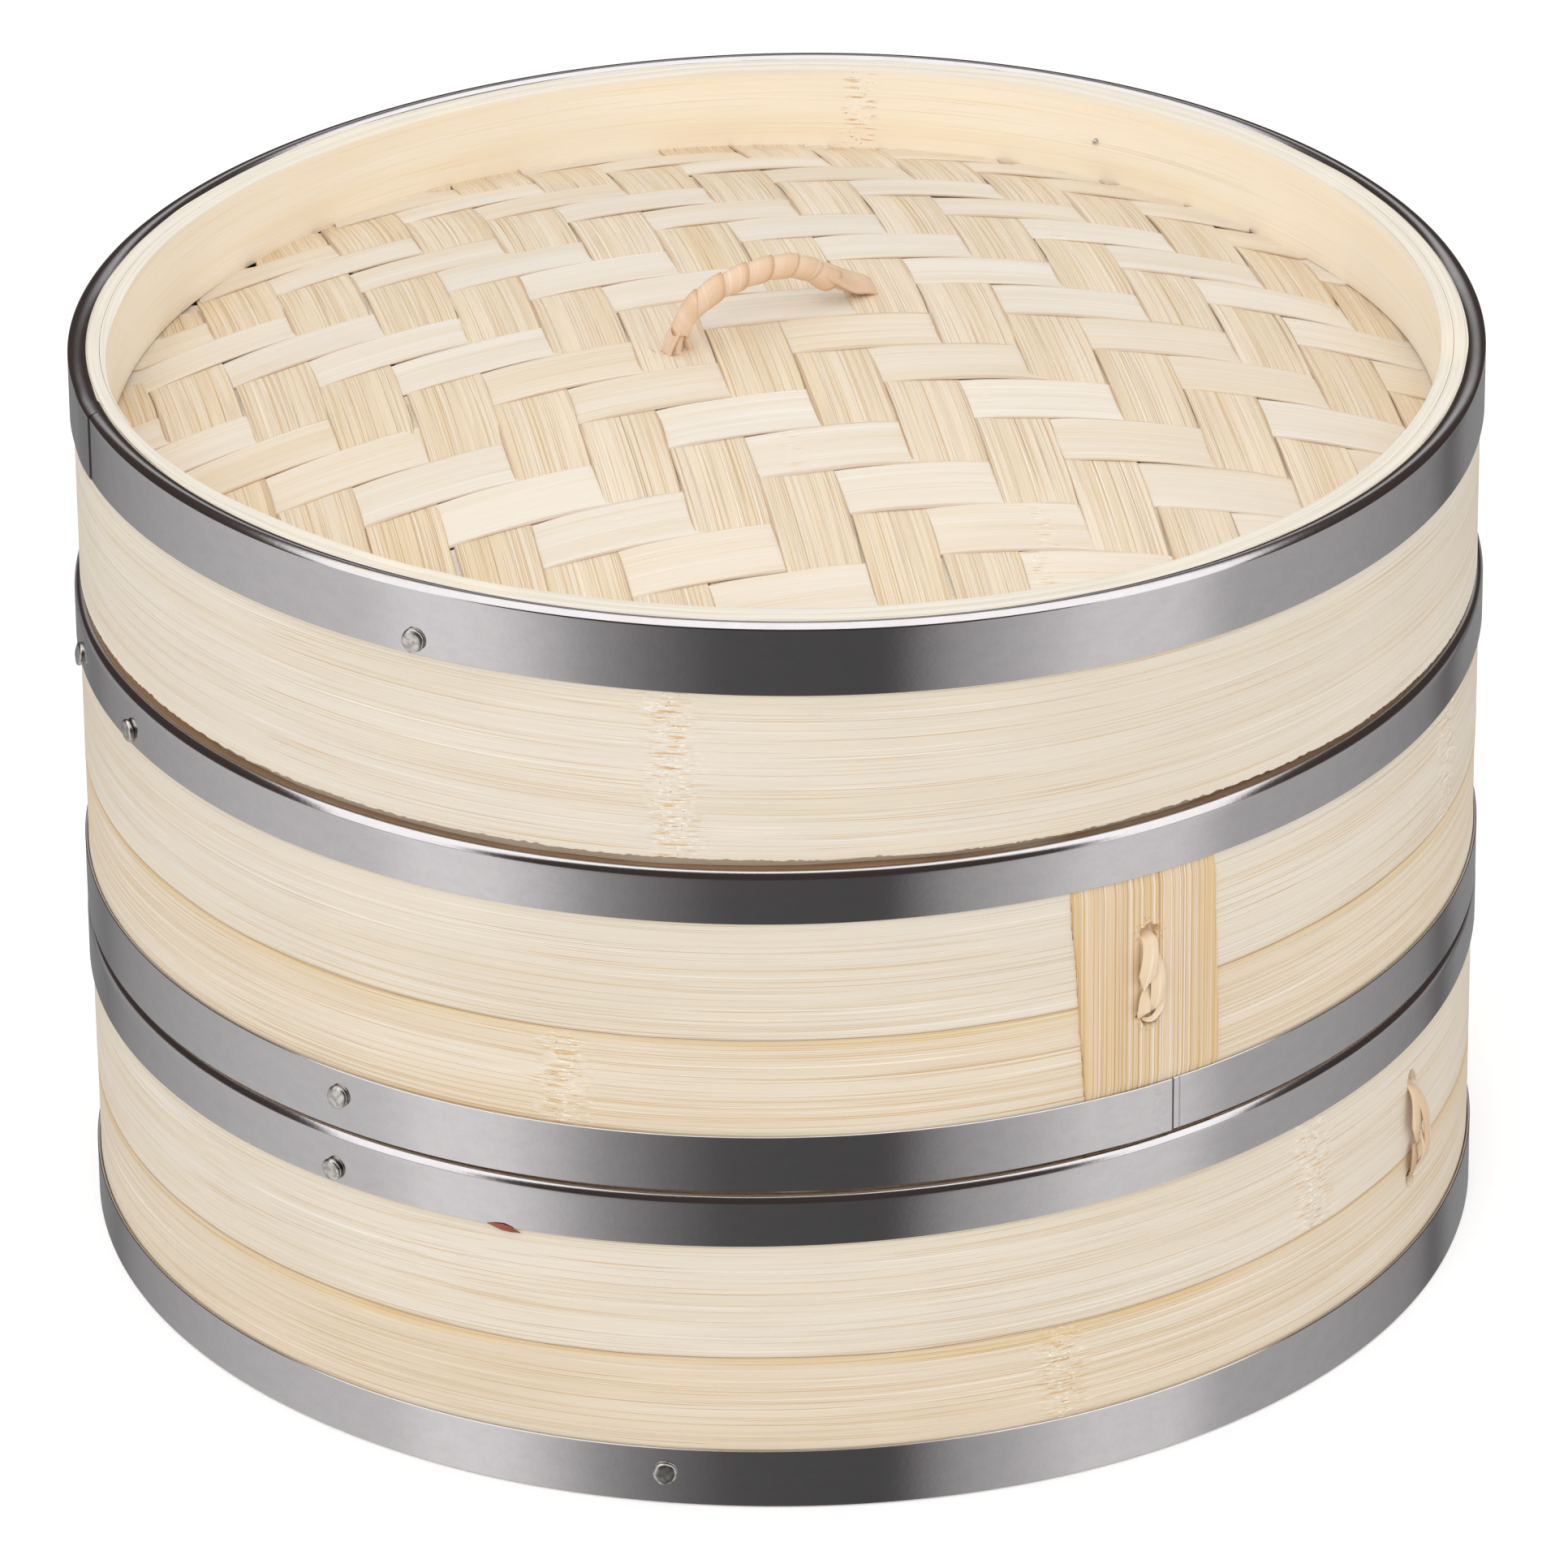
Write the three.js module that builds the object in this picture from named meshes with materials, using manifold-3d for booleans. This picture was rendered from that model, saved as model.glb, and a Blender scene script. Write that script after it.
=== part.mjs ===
// A two-tier bamboo steamer with a woven lid, in millimetres, +Z up, the origin at the centre of its base.
// A tier is a wall of two bent bamboo strips, one above the other, with a steel band at its top and bottom.
// Two inner hoops line the wall and clamp the slats of the floor. The upper one stands proud of the rim,
// and the next tier or the lid drops over it and rests on it.

import * as THREE from "three";
import { mergeVertices } from "three/addons/utils/BufferGeometryUtils.js";
import Module from "manifold-3d";

const wasm = await Module();
wasm.setup();

// Clearances
const bandGap = 0.1; // between a steel band and the wall under it
const nestGap = 0.35; // between an inner hoop and the wall round it
const restGap = 0.3; // where one piece rests on another
const holeGap = 0.2; // round a nail's shank
const tieGap = 0.3; // round a rattan strip or the handle in its hole

// Tier
const wallRadius = 126.2; // outside of the bamboo wall
const wallThickness = 3.3;
const tierHeight = 61.8; // of the bamboo wall
const tierGap = 0.65; // between the rim under a tier and the tier's base
const seamHeight = 29.7; // between the wall's two strips
const innerHoopThickness = 4.2;
const proudHeight = 4; // of the inner hoop above the next tier's base

// Floor
const lowerHoopTop = 14; // the floor's seat
const slatCount = 9;
const slatWidth = 13;
const slatThickness = 2.5;
const crossbarOffset = 55; // of each of the two crossbars from the middle
const crossbarWidth = 10;
const crossbarThickness = 3;
const endInset = 0.6; // of the slats' and bars' ends from the inner hoop's outside

// Steel bands
const steelThickness = 0.45;
const topBandFlat = 7.4; // from the top band's lower edge to its rolled rim
const bottomBandHeight = 11;
const bandLift = 0.3; // of the bottom band over the base
const beadHeight = 2.6; // of the rolled rim
const beadBulge = 0.35; // of the rolled rim past the band
const beadInset = 0.6; // of the rolled rim's end, on top of the wall, from the wall's inside
const lidBandFlat = 10;

// Nails
const nailHeadRadius = 2.1;
const nailHeadHeight = 0.9;
const nailHeadBevel = 0.5;
const nailShankRadius = 0.8;
const topNailRise = 2.6; // of a nail over the lower edge of a top band
const bottomNailRise = 6.1; // of a nail over the lower edge of a bottom band

// Stitches, and the patch over the upper tier's joint
const stitchRadius = 1.1;
const stitchLow = 24.8;
const stitchHigh = 42.6;
const stitchEndGap = 1.2;
const patchThickness = 1.2;
const patchFrom = -66.4; // degrees
const patchTo = -53.6;
const patchInset = 1.5; // of the patch's ends from the wall's edges
const patchSideGap = 0.15; // degrees

// Lid
const lidWallThickness = 2.9;
const lidGap = 1.3; // between the rim under the lid and the lid's base
const lidWallHeight = 43.2;
const matEdgeHeight = 22.9; // of the mat's underside at the wall, over the lid's base
const matThickness = 2.1;
const matEdgeFlat = 1; // of the mat inside the hoops before its dome begins
const domeRise = 21.8; // of the mat's middle over its edge
const ribWidth = 8;
const ribThickness = 3;

// Handle
const handleSpan = 42; // between the two legs
const handleHeight = 10.4; // of the centre line over the mat at the legs
const handleAzimuth = 35.5; // degrees
const handleX = -1.4;
const handleY = -4.8;
const coreRadius = 1;
const bindingWidth = 3.5;
const bindingThickness = 0.9;
const bindingBevel = 0.6; // across the strip
const bindingGap = 0.25; // between the core and its binding
const bindingTurns = 8;
const bindingRun = 2.2; // of each straight end
const bindingRamp = 0.1; // the share of the strip in which its winding starts, and the same to end

// Facets
const ringSegments = 48;
const rodSides = 8;
const turnSteps = 24;
const beadSteps = 3;
const matRings = 6;
const ribSteps = 10;
const bendSteps = 5;

const wallInnerRadius = wallRadius - wallThickness;
const lidWallRadius = wallInnerRadius + lidWallThickness;
const hoopOuterRadius = wallInnerRadius - nestGap;
const hoopInnerRadius = hoopOuterRadius - innerHoopThickness;
const floorRadius = hoopOuterRadius - endInset;
const seatHeight = proudHeight + restGap;
const rimTop = tierHeight + bandGap + steelThickness;
const tierPitch = rimTop + tierGap;
const upperHoopTop = tierPitch + proudHeight;
const lidBase = tierPitch + rimTop + lidGap;
const lidSeatHeight = tierPitch + upperHoopTop + restGap - lidBase;
const rad = THREE.MathUtils.degToRad;

const paint = (color, roughness, metalness) => new THREE.MeshStandardMaterial({ color, roughness, metalness });
const bamboo = paint(0xe9dcc2, 0.6, 0);
const palerBamboo = paint(0xf1e4c8, 0.6, 0);
const rattan = paint(0xe3bf9c, 0.55, 0);
const steel = paint(0xaaa6a5, 0.25, 1);

// A closed geometry as a solid that can be cut.
function toSolid(geometry) {
  const bare = geometry.clone();
  bare.deleteAttribute("normal");
  bare.deleteAttribute("uv");
  const merged = mergeVertices(bare, 1e-4);
  return new wasm.Manifold(
    new wasm.Mesh({
      numProp: 3,
      vertProperties: merged.attributes.position.array,
      triVerts: new Uint32Array(merged.index.array),
    }),
  );
}

function toGeometry(solid) {
  const mesh = solid.getMesh();
  return new THREE.BufferGeometry()
    .setAttribute("position", new THREE.BufferAttribute(mesh.vertProperties, 3))
    .setIndex(new THREE.BufferAttribute(mesh.triVerts, 1));
}

function cut(geometry, tools) {
  return toGeometry(tools.reduce((left, tool) => left.subtract(toSolid(tool)), toSolid(geometry)));
}

// A ring about Z from a closed outline of [radius, height] points, which runs anticlockwise.
function ring(outline) {
  const points = [...outline, outline[0]].map(([radius, z]) => new THREE.Vector2(radius, z));
  return new THREE.LatheGeometry(points, ringSegments).rotateX(Math.PI / 2);
}

function hoop(inner, outer, bottom, top) {
  return ring([
    [inner, bottom],
    [outer, bottom],
    [outer, top],
    [inner, top],
  ]);
}

// The part of a ring between two azimuths in degrees.
function sector(geometry, from, to) {
  const reach = 2 * wallRadius;
  const corners = [from, to].map((azimuth) => [reach * Math.cos(rad(azimuth)), reach * Math.sin(rad(azimuth))]);
  const wedge = new THREE.Shape([[0, 0], ...corners].map(([x, y]) => new THREE.Vector2(x, y)));
  const prism = new THREE.ExtrudeGeometry(wedge, { depth: 3 * tierHeight, bevelEnabled: false });
  prism.translate(0, 0, -tierHeight);
  return toGeometry(toSolid(geometry).intersect(toSolid(prism)));
}

// A rod lying along the radius at an azimuth in degrees, from one radius to another.
function radialRod(radius, inner, outer, azimuth, z) {
  return new THREE.CylinderGeometry(radius, radius, outer - inner, rodSides)
    .rotateZ(-Math.PI / 2)
    .translate((inner + outer) / 2, 0, z)
    .rotateZ(rad(azimuth));
}

function box(width, depth, height, x, y, z) {
  return new THREE.BoxGeometry(width, depth, height).translate(x, y, z);
}

// A closed tube through its frames. Each frame has a point and two directions, and the outline is given along them.
function sweep(frames, outline) {
  const positions = frames.flatMap(({ at, side, out }) =>
    outline.flatMap(([a, b]) => at.clone().addScaledVector(side, a).addScaledVector(out, b).toArray()),
  );
  const n = outline.length;
  const index = [];
  for (let ringNo = 0; ringNo + 1 < frames.length; ringNo++)
    for (let i = 0; i < n; i++) {
      const [a, b] = [ringNo * n + i, ringNo * n + ((i + 1) % n)];
      index.push(a, b, b + n, a, b + n, a + n);
    }
  const last = (frames.length - 1) * n;
  for (let i = 1; i + 1 < n; i++) index.push(0, i + 1, i, last, last + i, last + i + 1);
  return new THREE.BufferGeometry()
    .setAttribute("position", new THREE.Float32BufferAttribute(positions, 3))
    .setIndex(index);
}

function roundOutline(radius, sides) {
  return Array.from({ length: sides }, (_, i) => {
    const angle = (2 * Math.PI * i) / sides;
    return [radius * Math.cos(angle), radius * Math.sin(angle)];
  });
}

function add(group, name, geometry, material) {
  const mesh = new THREE.Mesh(geometry, material);
  mesh.name = name;
  group.add(mesh);
}

const bandLowerEdge = (woodTop, flat) => woodTop + bandGap + steelThickness - beadHeight - flat;

// A steel band round the top of a wall. It ends in a rolled rim that bulges outwards and covers the wall's edge.
function topBand(radius, flat, woodTop, holes) {
  const innerRadius = wallInnerRadius + beadInset;
  const inside = radius + bandGap;
  const outside = inside + steelThickness;
  const lowerEdge = bandLowerEdge(woodTop, flat);
  const rimBase = lowerEdge + flat;
  const crest = (outside + beadBulge + innerRadius) / 2;
  const bead = Array.from({ length: beadSteps + 1 }, (_, i) => {
    const angle = (Math.PI * i) / 2 / beadSteps;
    return [crest + (outside + beadBulge - crest) * Math.cos(angle), rimBase + beadHeight * Math.sin(angle)];
  });
  const outline = [
    [inside, lowerEdge],
    [outside, lowerEdge],
    [outside, rimBase - beadBulge],
    ...bead,
    [innerRadius, woodTop + bandGap + steelThickness / 2],
    [innerRadius, woodTop + bandGap],
    [inside, woodTop + bandGap],
  ];
  return cut(ring(outline), holes);
}

// A nail driven towards the axis through band, wall and inner hoop, clinched flush inside.
function nail(bandRadius, azimuth, z) {
  const length = bandRadius + holeGap - hoopInnerRadius;
  const outline = [
    [0, 0],
    [nailShankRadius, 0],
    [nailShankRadius, length],
    [nailHeadRadius, length],
    [nailHeadRadius, length + nailHeadHeight - nailHeadBevel],
    [nailHeadRadius - nailHeadBevel, length + nailHeadHeight],
    [0, length + nailHeadHeight],
  ].map(([radius, y]) => new THREE.Vector2(radius, y));
  return new THREE.LatheGeometry(outline, rodSides)
    .rotateZ(-Math.PI / 2)
    .translate(hoopInnerRadius, 0, z)
    .rotateZ(rad(azimuth));
}

// Tools that cut through a wall reach this far to each side of it.
const wallReach = 20;

function wallHole(radius, azimuth, z) {
  return radialRod(radius, hoopInnerRadius - wallReach, wallRadius + wallReach, azimuth, z);
}

const nailHole = (azimuth, z) => wallHole(nailShankRadius + holeGap, azimuth, z);
const stitchHole = (azimuth, z) => wallHole(stitchRadius + tieGap, azimuth, z);

// A rattan strip through two holes, one above the other, with both ends on the inside of the wall.
function stitch(azimuth) {
  const bend = stitchRadius + tieGap;
  const near = wallRadius + bend;
  const far = hoopInnerRadius - bend;
  const middle = (stitchLow + stitchHigh) / 2;
  const corners = [
    { centre: [far + bend, stitchLow + bend], from: 180 },
    { centre: [near - bend, stitchLow + bend], from: 270 },
    { centre: [near - bend, stitchHigh - bend], from: 0 },
    { centre: [far + bend, stitchHigh - bend], from: 90 },
  ];
  const turned = (x, y, z) => new THREE.Vector3(x, y, z).applyAxisAngle(new THREE.Vector3(0, 0, 1), rad(azimuth));
  const frame = (radius, z, angle) => ({
    at: turned(radius, 0, z),
    side: turned(Math.cos(angle), 0, Math.sin(angle)),
    out: turned(0, 1, 0),
  });
  const bends = corners.flatMap(({ centre, from }) =>
    [0, 45, 90].map((step) => {
      const angle = rad(from + step);
      return frame(centre[0] + bend * Math.cos(angle), centre[1] + bend * Math.sin(angle), angle);
    }),
  );
  return sweep(
    [
      frame(far, middle - stitchEndGap / 2, Math.PI),
      ...bends,
      frame(far, middle + stitchEndGap / 2, Math.PI),
    ],
    roundOutline(stitchRadius, rodSides),
  );
}

// A flat bar that lies along X at this Y, with its ends cut to the floor's circle.
function bar(width, thickness, y, bottom) {
  const edge = (offset) => Math.asin(offset / floorRadius);
  const outline = new THREE.Shape();
  outline.absarc(0, 0, floorRadius, edge(y - width / 2), edge(y + width / 2), false);
  outline.absarc(0, 0, floorRadius, Math.PI - edge(y + width / 2), Math.PI - edge(y - width / 2), false);
  outline.closePath();
  return new THREE.ExtrudeGeometry(outline, { depth: thickness, bevelEnabled: false, curveSegments: 3 }).translate(
    0,
    0,
    bottom,
  );
}

// One tier. Nails are azimuths in degrees, and so are the stitch and the patch that some tiers have over the joint.
function tier(prefix, { topNails, bottomNails, stitchAt, hasPatch }) {
  const group = new THREE.Group();
  const bandOutside = wallRadius + bandGap + steelThickness;
  const stitchHoles = [stitchHole(stitchAt, stitchLow), stitchHole(stitchAt, stitchHigh)];
  const recess = sector(
    hoop(wallRadius - patchThickness - bandGap, wallRadius + wallReach, -restGap, tierHeight + restGap),
    patchFrom - patchSideGap,
    patchTo + patchSideGap,
  );
  const wallCuts = hasPatch ? [...stitchHoles, recess] : stitchHoles;

  const topNailHeight = bandLowerEdge(tierHeight, topBandFlat) + topNailRise;
  const bottomNailHeight = bandLift + bottomNailRise;
  const topHoles = topNails.map((azimuth) => nailHole(azimuth, topNailHeight));
  const bottomHoles = bottomNails.map((azimuth) => nailHole(azimuth, bottomNailHeight));

  add(
    group,
    prefix + "wall_strip_lower",
    cut(hoop(wallInnerRadius, wallRadius, 0, seamHeight - restGap / 2), [...bottomHoles, ...wallCuts]),
    bamboo,
  );
  add(
    group,
    prefix + "wall_strip_upper",
    cut(hoop(wallInnerRadius, wallRadius, seamHeight + restGap / 2, tierHeight), [...topHoles, ...wallCuts]),
    bamboo,
  );
  add(group, prefix + "top_band", topBand(wallRadius, topBandFlat, tierHeight, topHoles), steel);
  add(
    group,
    prefix + "bottom_band",
    cut(hoop(wallRadius + bandGap, bandOutside, bandLift, bandLift + bottomBandHeight), bottomHoles),
    steel,
  );

  const slatBottom = lowerHoopTop + restGap;
  const hoopAboveSlats = slatBottom + slatThickness + restGap;
  const notchDepth = crossbarThickness + restGap;
  const notches = [-1, 1].flatMap((side) =>
    [-1, 1].map((end) =>
      box(
        crossbarWidth + 2 * restGap,
        wallRadius,
        2 * notchDepth,
        side * crossbarOffset,
        end * wallRadius,
        lowerHoopTop,
      ),
    ),
  );
  add(
    group,
    prefix + "inner_hoop_lower",
    cut(hoop(hoopInnerRadius, hoopOuterRadius, seatHeight, lowerHoopTop), [...bottomHoles, ...notches]),
    palerBamboo,
  );
  add(
    group,
    prefix + "inner_hoop_upper",
    cut(hoop(hoopInnerRadius, hoopOuterRadius, hoopAboveSlats, upperHoopTop), [...topHoles, ...stitchHoles]),
    palerBamboo,
  );

  const slatPitch = (2 * hoopInnerRadius) / slatCount;
  for (let i = 0; i < slatCount; i++) {
    const y = (i - (slatCount - 1) / 2) * slatPitch;
    add(group, prefix + "slat_" + (i + 1), bar(slatWidth, slatThickness, y, slatBottom), palerBamboo);
  }
  [-1, 1].forEach((side, i) => {
    const crossbar = bar(crossbarWidth, crossbarThickness, side * crossbarOffset, lowerHoopTop - crossbarThickness);
    add(group, prefix + "crossbar_" + (i + 1), crossbar.rotateZ(-Math.PI / 2), palerBamboo);
  });

  add(group, prefix + "stitch", stitch(stitchAt), rattan);
  if (hasPatch) {
    const plate = hoop(wallRadius - patchThickness, wallRadius, patchInset, tierHeight - patchInset);
    add(group, prefix + "joint_patch", cut(sector(plate, patchFrom, patchTo), stitchHoles), bamboo);
  }
  topNails.forEach((azimuth, i) => {
    add(group, prefix + "top_nail_" + (i + 1), nail(bandOutside, azimuth, topNailHeight), steel);
  });
  bottomNails.forEach((azimuth, i) => {
    add(group, prefix + "bottom_nail_" + (i + 1), nail(bandOutside, azimuth, bottomNailHeight), steel);
  });
  return group;
}

const hoopBelowMat = matEdgeHeight - restGap;
const domeRadius = hoopInnerRadius - matEdgeFlat;
const domeHeight = (radius) => domeRise * Math.max(0, 1 - (radius / domeRadius) ** 2);

// The woven mat as one domed sheet, with a hole for each leg of the handle.
function mat(holes) {
  const radii = Array.from({ length: matRings + 1 }, (_, i) => (domeRadius * i) / matRings);
  radii.push(floorRadius);
  const surface = (base) => radii.map((radius) => new THREE.Vector2(radius, base + domeHeight(radius)));
  const outline = [...surface(matEdgeHeight), ...surface(matEdgeHeight + matThickness).reverse()];
  return cut(new THREE.LatheGeometry(outline, ringSegments).rotateX(Math.PI / 2), holes);
}

// The lid's axis in the handle's own frame, across the handle and along the ribs.
const axisAcross = -handleX * Math.cos(rad(handleAzimuth)) - handleY * Math.sin(rad(handleAzimuth));
const axisAlong = handleX * Math.sin(rad(handleAzimuth)) - handleY * Math.cos(rad(handleAzimuth));

// A bow under the mat at one leg of the handle, in the handle's own frame, with its ends cut to the floor's circle.
function rib(side) {
  const offset = (side * handleSpan) / 2;
  const outerEdge = Math.abs(offset - axisAcross) + ribWidth / 2;
  const domeEnd = Math.sqrt(domeRadius ** 2 - outerEdge ** 2);
  const domed = Array.from({ length: ribSteps + 1 }, (_, i) => axisAlong + domeEnd * ((2 * i) / ribSteps - 1));
  const along = [axisAlong - floorRadius, ...domed, axisAlong + floorRadius];
  const topAt = (v) => hoopBelowMat + domeHeight(Math.hypot(v - axisAlong, outerEdge));
  const upper = along.map((v) => new THREE.Vector2(v, topAt(v)));
  const lower = along.map((v) => new THREE.Vector2(v, topAt(v) - ribThickness));
  const bow = new THREE.ExtrudeGeometry(new THREE.Shape([...lower, ...upper.reverse()]), {
    depth: ribWidth,
    bevelEnabled: false,
  });
  bow.translate(0, 0, -ribWidth / 2).rotateX(Math.PI / 2).rotateZ(Math.PI / 2).translate(offset, 0, 0);
  const disc = new THREE.CylinderGeometry(floorRadius, floorRadius, 2 * lidWallHeight, ringSegments);
  disc.rotateX(Math.PI / 2).translate(axisAcross, axisAlong, 0);
  return toGeometry(toSolid(bow).intersect(toSolid(disc)).subtract(toSolid(legHole(side))));
}

const legHole = (side) =>
  new THREE.CylinderGeometry(coreRadius + tieGap, coreRadius + tieGap, 2 * lidWallHeight, rodSides)
    .rotateX(Math.PI / 2)
    .translate((side * handleSpan) / 2, 0, lidWallHeight);

// The handle's centre line in its own upright plane, at a distance from the middle of its top.
// It has a straight top, two quarter bends and two upright legs.
const archRadius = handleHeight - restGap - bindingRun;
const archTopHalf = handleSpan / 2 - archRadius;
const archHalfLength = archTopHalf + (archRadius * Math.PI) / 2 + bindingRun;
const legFoot = matEdgeHeight + matThickness + domeHeight(handleSpan / 2);

function archAt(distance) {
  const way = Math.sign(distance) || 1;
  const past = Math.abs(distance) - archTopHalf;
  const angle = THREE.MathUtils.clamp(past / archRadius, 0, Math.PI / 2);
  const straight = Math.max(0, past - (archRadius * Math.PI) / 2);
  const across = past < 0 ? Math.abs(distance) : archTopHalf + archRadius * Math.sin(angle);
  const height = legFoot + handleHeight - archRadius * (1 - Math.cos(angle)) - straight;
  return {
    at: new THREE.Vector3(way * across, 0, height),
    out: new THREE.Vector3(way * Math.sin(angle), 0, Math.cos(angle)),
    side: new THREE.Vector3(0, 1, 0),
  };
}

function handleCore(bottom) {
  const legEnd = archHalfLength + legFoot + restGap - bottom;
  const bends = Array.from(
    { length: bendSteps + 1 },
    (_, i) => archTopHalf + (archRadius * Math.PI * i) / 2 / bendSteps,
  );
  const half = [...bends, legEnd];
  const stations = [...half.map((distance) => -distance).reverse(), ...half];
  return sweep(stations.map(archAt), roundOutline(coreRadius, rodSides));
}

// The flat rattan strip wound round the core. It winds up slowly from each straight end, which runs down its leg.
const bindingRadius = coreRadius + bindingGap + bindingThickness / 2;

function bindingAngle(distance) {
  const wound = archHalfLength - bindingRun;
  const share = THREE.MathUtils.clamp((distance / wound + 1) / 2, 0, 1);
  const eased = (x) => (x < bindingRamp ? (x * x) / (2 * bindingRamp) : x - bindingRamp / 2);
  const progress = share < 0.5 ? eased(share) : 1 - bindingRamp - eased(1 - share);
  return (2 * Math.PI * bindingTurns * progress) / (1 - bindingRamp);
}

function bindingPoint(distance) {
  const { at, out, side } = archAt(distance);
  const angle = bindingAngle(distance);
  const radial = out.multiplyScalar(Math.cos(angle)).addScaledVector(side, Math.sin(angle));
  return { at: at.addScaledVector(radial, bindingRadius), radial, angle };
}

function handleBinding() {
  const count = turnSteps * bindingTurns;
  const nudge = 0.01;
  const stations = Array.from({ length: count + 1 }, (_, i) => archHalfLength * ((2 * i) / count - 1));
  const frames = stations.map((distance) => {
    const { at, radial, angle } = bindingPoint(distance);
    const course = bindingPoint(distance + nudge).at.sub(bindingPoint(distance - nudge).at);
    return { at, side: radial.clone().cross(course).normalize(), out: radial, angle };
  });
  const [half, thin] = [bindingWidth / 2, bindingThickness / 2];
  const face = half - bindingBevel;
  const outline = [
    [half, 0],
    [face, thin],
    [-face, thin],
    [-half, 0],
    [-face, -thin],
    [face, -thin],
  ];
  const geometry = sweep(frames, outline);
  const points = geometry.getAttribute("position");
  const [first, second] = [new THREE.Vector3(), new THREE.Vector3()];
  let least = Infinity;
  for (let i = 0; i < points.count; i++)
    for (let j = i + 1; j < points.count; j++) {
      const [before, after] = [i, j].map((point) => frames[Math.floor(point / outline.length)].angle);
      if (after - before < Math.PI) continue;
      least = Math.min(least, first.fromBufferAttribute(points, i).distanceTo(second.fromBufferAttribute(points, j)));
    }
  console.log("lid_handle_binding: least gap to itself " + least.toFixed(2) + " mm");
  return geometry;
}

// The lid. Its mat is clamped between two inner hoops, and the handle passes through the mat into two ribs.
function lid(nails) {
  const group = new THREE.Group();
  const frame = new THREE.Group();
  frame.position.set(handleX, handleY, 0);
  frame.rotation.z = rad(handleAzimuth);
  frame.updateMatrixWorld();
  const placed = (geometry) => geometry.applyMatrix4(frame.matrixWorld);

  const nailHeight = bandLowerEdge(lidWallHeight, lidBandFlat) + topNailRise;
  const holes = nails.map((azimuth) => nailHole(azimuth, nailHeight));
  const bandOutside = lidWallRadius + bandGap + steelThickness;
  add(group, "lid_wall", cut(hoop(wallInnerRadius, lidWallRadius, 0, lidWallHeight), holes), bamboo);
  const band = topBand(lidWallRadius, lidBandFlat, lidWallHeight, holes);
  add(group, "lid_rim_band", band, steel);

  const hoopAboveMat = matEdgeHeight + matThickness + restGap;
  const ribNotches = [-1, 1].flatMap((side) =>
    [-1, 1].map((end) =>
      placed(
        box(
          ribWidth + 2 * restGap,
          wallRadius,
          2 * (ribThickness + restGap),
          (side * handleSpan) / 2,
          end * wallRadius,
          hoopBelowMat,
        ),
      ),
    ),
  );
  add(
    group,
    "lid_inner_hoop_lower",
    cut(hoop(hoopInnerRadius, hoopOuterRadius, lidSeatHeight, hoopBelowMat), ribNotches),
    palerBamboo,
  );
  add(
    group,
    "lid_inner_hoop_upper",
    cut(hoop(hoopInnerRadius, hoopOuterRadius, hoopAboveMat, lidWallHeight), holes),
    palerBamboo,
  );
  add(group, "lid_woven_mat", mat([-1, 1].map((side) => placed(legHole(side)))), palerBamboo);
  [-1, 1].forEach((side, i) => {
    add(group, "lid_rib_" + (i + 1), placed(rib(side)), palerBamboo);
  });
  const ribBottom = hoopBelowMat + domeHeight(handleSpan / 2) - ribThickness;
  add(group, "lid_handle_core", placed(handleCore(ribBottom)), rattan);
  add(group, "lid_handle_binding", placed(handleBinding()), rattan);
  nails.forEach((azimuth, i) => {
    add(group, "lid_nail_" + (i + 1), nail(bandOutside, azimuth, nailHeight), steel);
  });
  return group;
}

const steamer = new THREE.Group();
steamer.name = "bamboo_steamer";

const lowerTier = tier("lower_tier_", {
  topNails: [-128.4, 52],
  bottomNails: [-99.6, 80],
  stitchAt: -27.2,
  hasPatch: false,
});
steamer.add(lowerTier);

const upperTier = tier("upper_tier_", {
  topNails: [-154.5, -169.2, 20],
  bottomNails: [-127.6, 50],
  stitchAt: -60.1,
  hasPatch: true,
});
upperTier.position.z = tierPitch;
steamer.add(upperTier);

const cover = lid([-119.3, 59.5]);
cover.position.z = lidBase;
steamer.add(cover);

export default steamer;
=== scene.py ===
"""A two-tier bamboo steamer with a woven lid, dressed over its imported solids. Shapes are worked out in millimetres."""

import math

import bpy
import numpy as np
from mathutils import Euler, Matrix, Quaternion, Vector


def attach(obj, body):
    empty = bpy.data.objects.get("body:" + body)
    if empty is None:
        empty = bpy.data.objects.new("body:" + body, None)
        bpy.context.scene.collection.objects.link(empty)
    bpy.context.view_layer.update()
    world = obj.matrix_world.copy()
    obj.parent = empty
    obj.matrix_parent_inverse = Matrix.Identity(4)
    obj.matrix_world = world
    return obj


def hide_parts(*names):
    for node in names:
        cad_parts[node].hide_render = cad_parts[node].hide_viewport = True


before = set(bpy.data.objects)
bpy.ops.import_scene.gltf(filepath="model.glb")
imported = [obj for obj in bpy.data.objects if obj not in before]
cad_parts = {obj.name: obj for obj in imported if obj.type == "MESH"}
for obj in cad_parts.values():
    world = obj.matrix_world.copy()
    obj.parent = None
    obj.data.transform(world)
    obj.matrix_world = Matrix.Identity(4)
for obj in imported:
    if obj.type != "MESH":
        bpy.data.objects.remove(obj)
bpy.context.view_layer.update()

MM = 0.001
TIERS = {"lower_tier": 0.0, "upper_tier": 63.0}  # the heights of their bottom edges
LID, LID_TOP = 126.65, 169.85


# ---------------------------------------------------------------- meshes


def triples(*parts):
    """Three numbers or arrays brought to one shape, as the parts of vectors."""
    return np.stack(np.broadcast_arrays(*parts), -1)


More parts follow.
